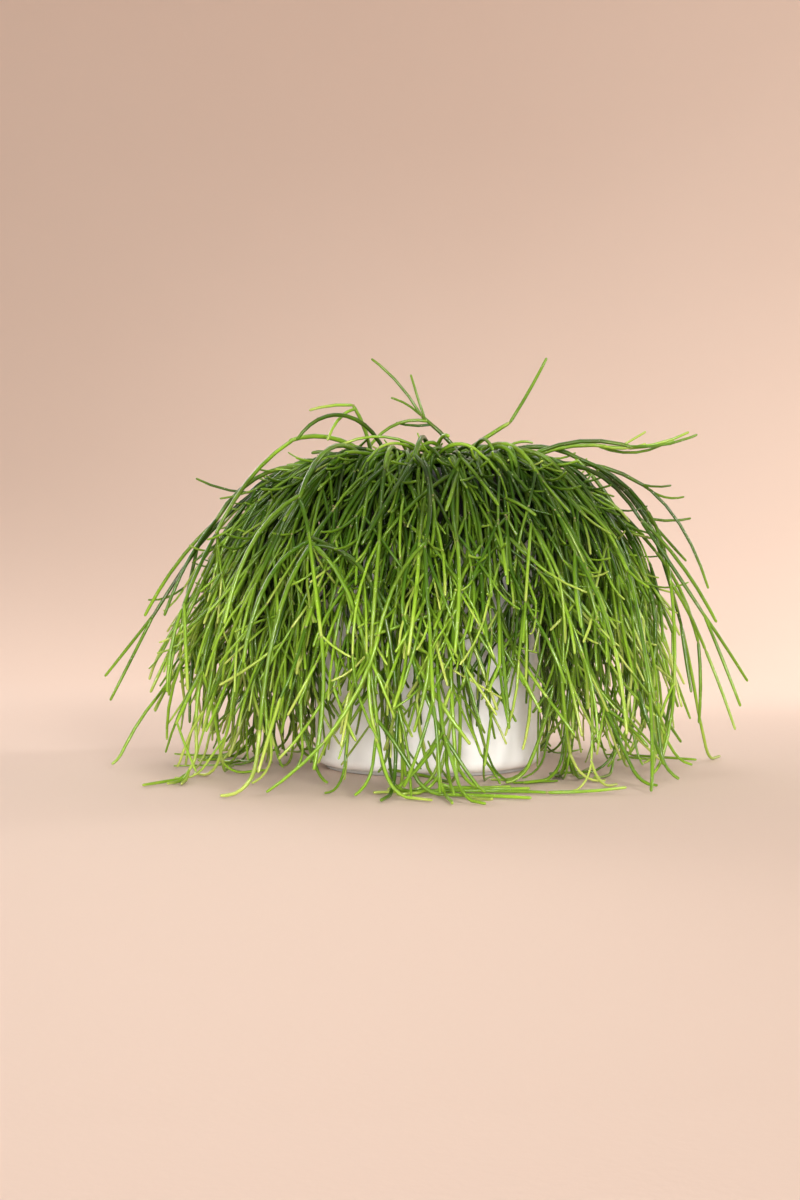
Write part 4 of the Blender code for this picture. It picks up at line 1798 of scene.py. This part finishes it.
@dataclass
class Mop:
    """The plant: all sprays, grown together."""

    vessel: Vessel

    def build(self) -> None:
        """Grows the plant and models it, one piece for each spray of the frame."""
        travel = Travel(self.vessel)
        sprays = MainGrowth(travel).grow()
        LOG.info("%d sprays, %d main stems", len(sprays), sum(1 for spray in sprays for _ in spray.all()))
        full = FillGrowth(travel).grow(sprays)
        LOG.info("%d stems in all", sum(map(len, full)))
        material = Green().material()
        for index, stems in enumerate(full, 1):
            SprayPiece(index, stems, self.vessel).build(material)


# Studio: floor and backdrop, light, camera.


@dataclass(frozen=True)
class Lamp:
    """A soft square light, which looks at the plant if it isn't aimed elsewhere."""

    name: str
    place: Triple
    size: float
    power: float
    colour: Triple = (1.0, 1.0, 1.0)
    aim: Triple = (0.0, 0.0, 0.16)
    spread: float = 180.0

    def hang(self) -> None:
        """Hangs the lamp."""
        bpy.ops.object.light_add(type="AREA", location=self.place)
        thing = bpy.context.active_object
        thing.name = self.name
        thing.rotation_euler = (Vector(self.aim) - Vector(self.place)).to_track_quat("-Z", "Y").to_euler()
        light = thing.data
        light.size, light.energy, light.color = self.size, self.power, self.colour
        light.spread = math.radians(self.spread)


@dataclass
class Studio:
    """A pale round cove, soft lights and the camera, level with the pot's upper half."""

    floor_radius: float = 1.6
    cove_radius: float = 2.2
    wall_height: float = 3.0
    cove_steps: int = 20
    sides: int = 96
    floor_drop: float = 0.0004
    world_colour: Triple = (1.0, 0.95, 0.92)
    world_strength: float = 0.26
    lamps: tuple[Lamp, ...] = (
        Lamp("key_light", (1.0, -3.0, 1.05), 0.6, 15, (1.0, 0.98, 0.95), spread=80),
        Lamp("fill_light", (-2.0, -1.9, 1.1), 0.7, 3.0, (1.0, 0.985, 0.97), spread=60),
        Lamp("front_light", (-0.2, -2.2, 0.30), 0.5, 1.3, (1.0, 0.985, 0.97), (0.0, 0.0, 0.06), 36),
        Lamp("top_light", (0.2, -0.3, 2.4), 0.8, 12, (1.0, 0.99, 0.97)),
        Lamp("wall_light", (2.2, 0.9, 1.0), 1.2, 72, (1.0, 0.985, 0.96), (-0.7, 3.8, 1.8)),
        Lamp("floor_light", (0.0, 1.5, 1.5), 1.0, 8, (1.0, 0.98, 0.95), (0.1, 1.6, 0.0)),
        Lamp("back_light", (-1.6, 2.3, 1.3), 1.2, 9, (1.0, 0.985, 0.97), spread=100),
    )
    eye: Triple = (-0.0247, -1.412, 0.148)
    focal_length: float = 47.4
    sensor: float = 36.0

    def build(self) -> None:
        """Builds the floor and backdrop, the lights and the camera."""
        self.cove()
        world = bpy.data.worlds.new("room_light")
        world.use_nodes = True
        back = world.node_tree.nodes["Background"].inputs
        back["Color"].default_value = (*self.world_colour, 1.0)
        back["Strength"].default_value = self.world_strength
        for lamp in self.lamps:
            lamp.hang()
        bpy.ops.object.camera_add(location=self.eye, rotation=(math.pi / 2, 0, 0))
        scene, camera = bpy.context.scene, bpy.context.active_object
        camera.data.lens, camera.data.sensor_width = self.focal_length, self.sensor
        scene.world, scene.camera = world, camera
        scene.view_settings.view_transform = "Standard"

    def cove(self) -> None:
        """Models the floor, which curves up into a wall all round."""
        select()
        bpy.ops.mesh.primitive_circle_add(vertices=self.sides, radius=self.floor_radius,
                                          fill_type="NGON", location=(0, 0, -self.floor_drop))
        cove = Workpiece("backdrop")
        with cove.edited():
            bpy.ops.mesh.select_mode(type="EDGE")
            bpy.ops.mesh.select_all(action="SELECT")
            bpy.ops.mesh.region_to_loop()
            rise, radius = 0.0, self.floor_radius
            for step in range(1, self.cove_steps + 1):
                turn = math.pi / 2 * step / self.cove_steps
                new_rise = self.cove_radius * (1 - math.cos(turn))
                new_radius = self.floor_radius + self.cove_radius * math.sin(turn)
                self.drawn_up(new_rise - rise)
                bpy.ops.transform.resize(value=(new_radius / radius, new_radius / radius, 1))
                rise, radius = new_rise, new_radius
            self.drawn_up(self.wall_height - rise)
            bpy.ops.mesh.select_all(action="SELECT")
            bpy.ops.mesh.normals_make_consistent(inside=True)
        bpy.ops.object.shade_smooth()
        cove.thing.data.materials.append(Paper().material())

    @staticmethod
    def drawn_up(rise: float) -> None:
        """Extrudes the selected edges upwards."""
        bpy.ops.mesh.extrude_edges_move(TRANSFORM_OT_translate={"value": (0, 0, rise)})


def main() -> None:
    """Builds the pots, the mix, the plant and the studio."""
    logging.basicConfig(level=logging.INFO, format="%(name)s: %(message)s")
    vessel = Vessel()
    for assembly in (CoverPot(vessel), GrowerPot(vessel), PottingMix(vessel), Mop(vessel), Studio()):
        assembly.build()


if __name__ == "__main__":
    main()
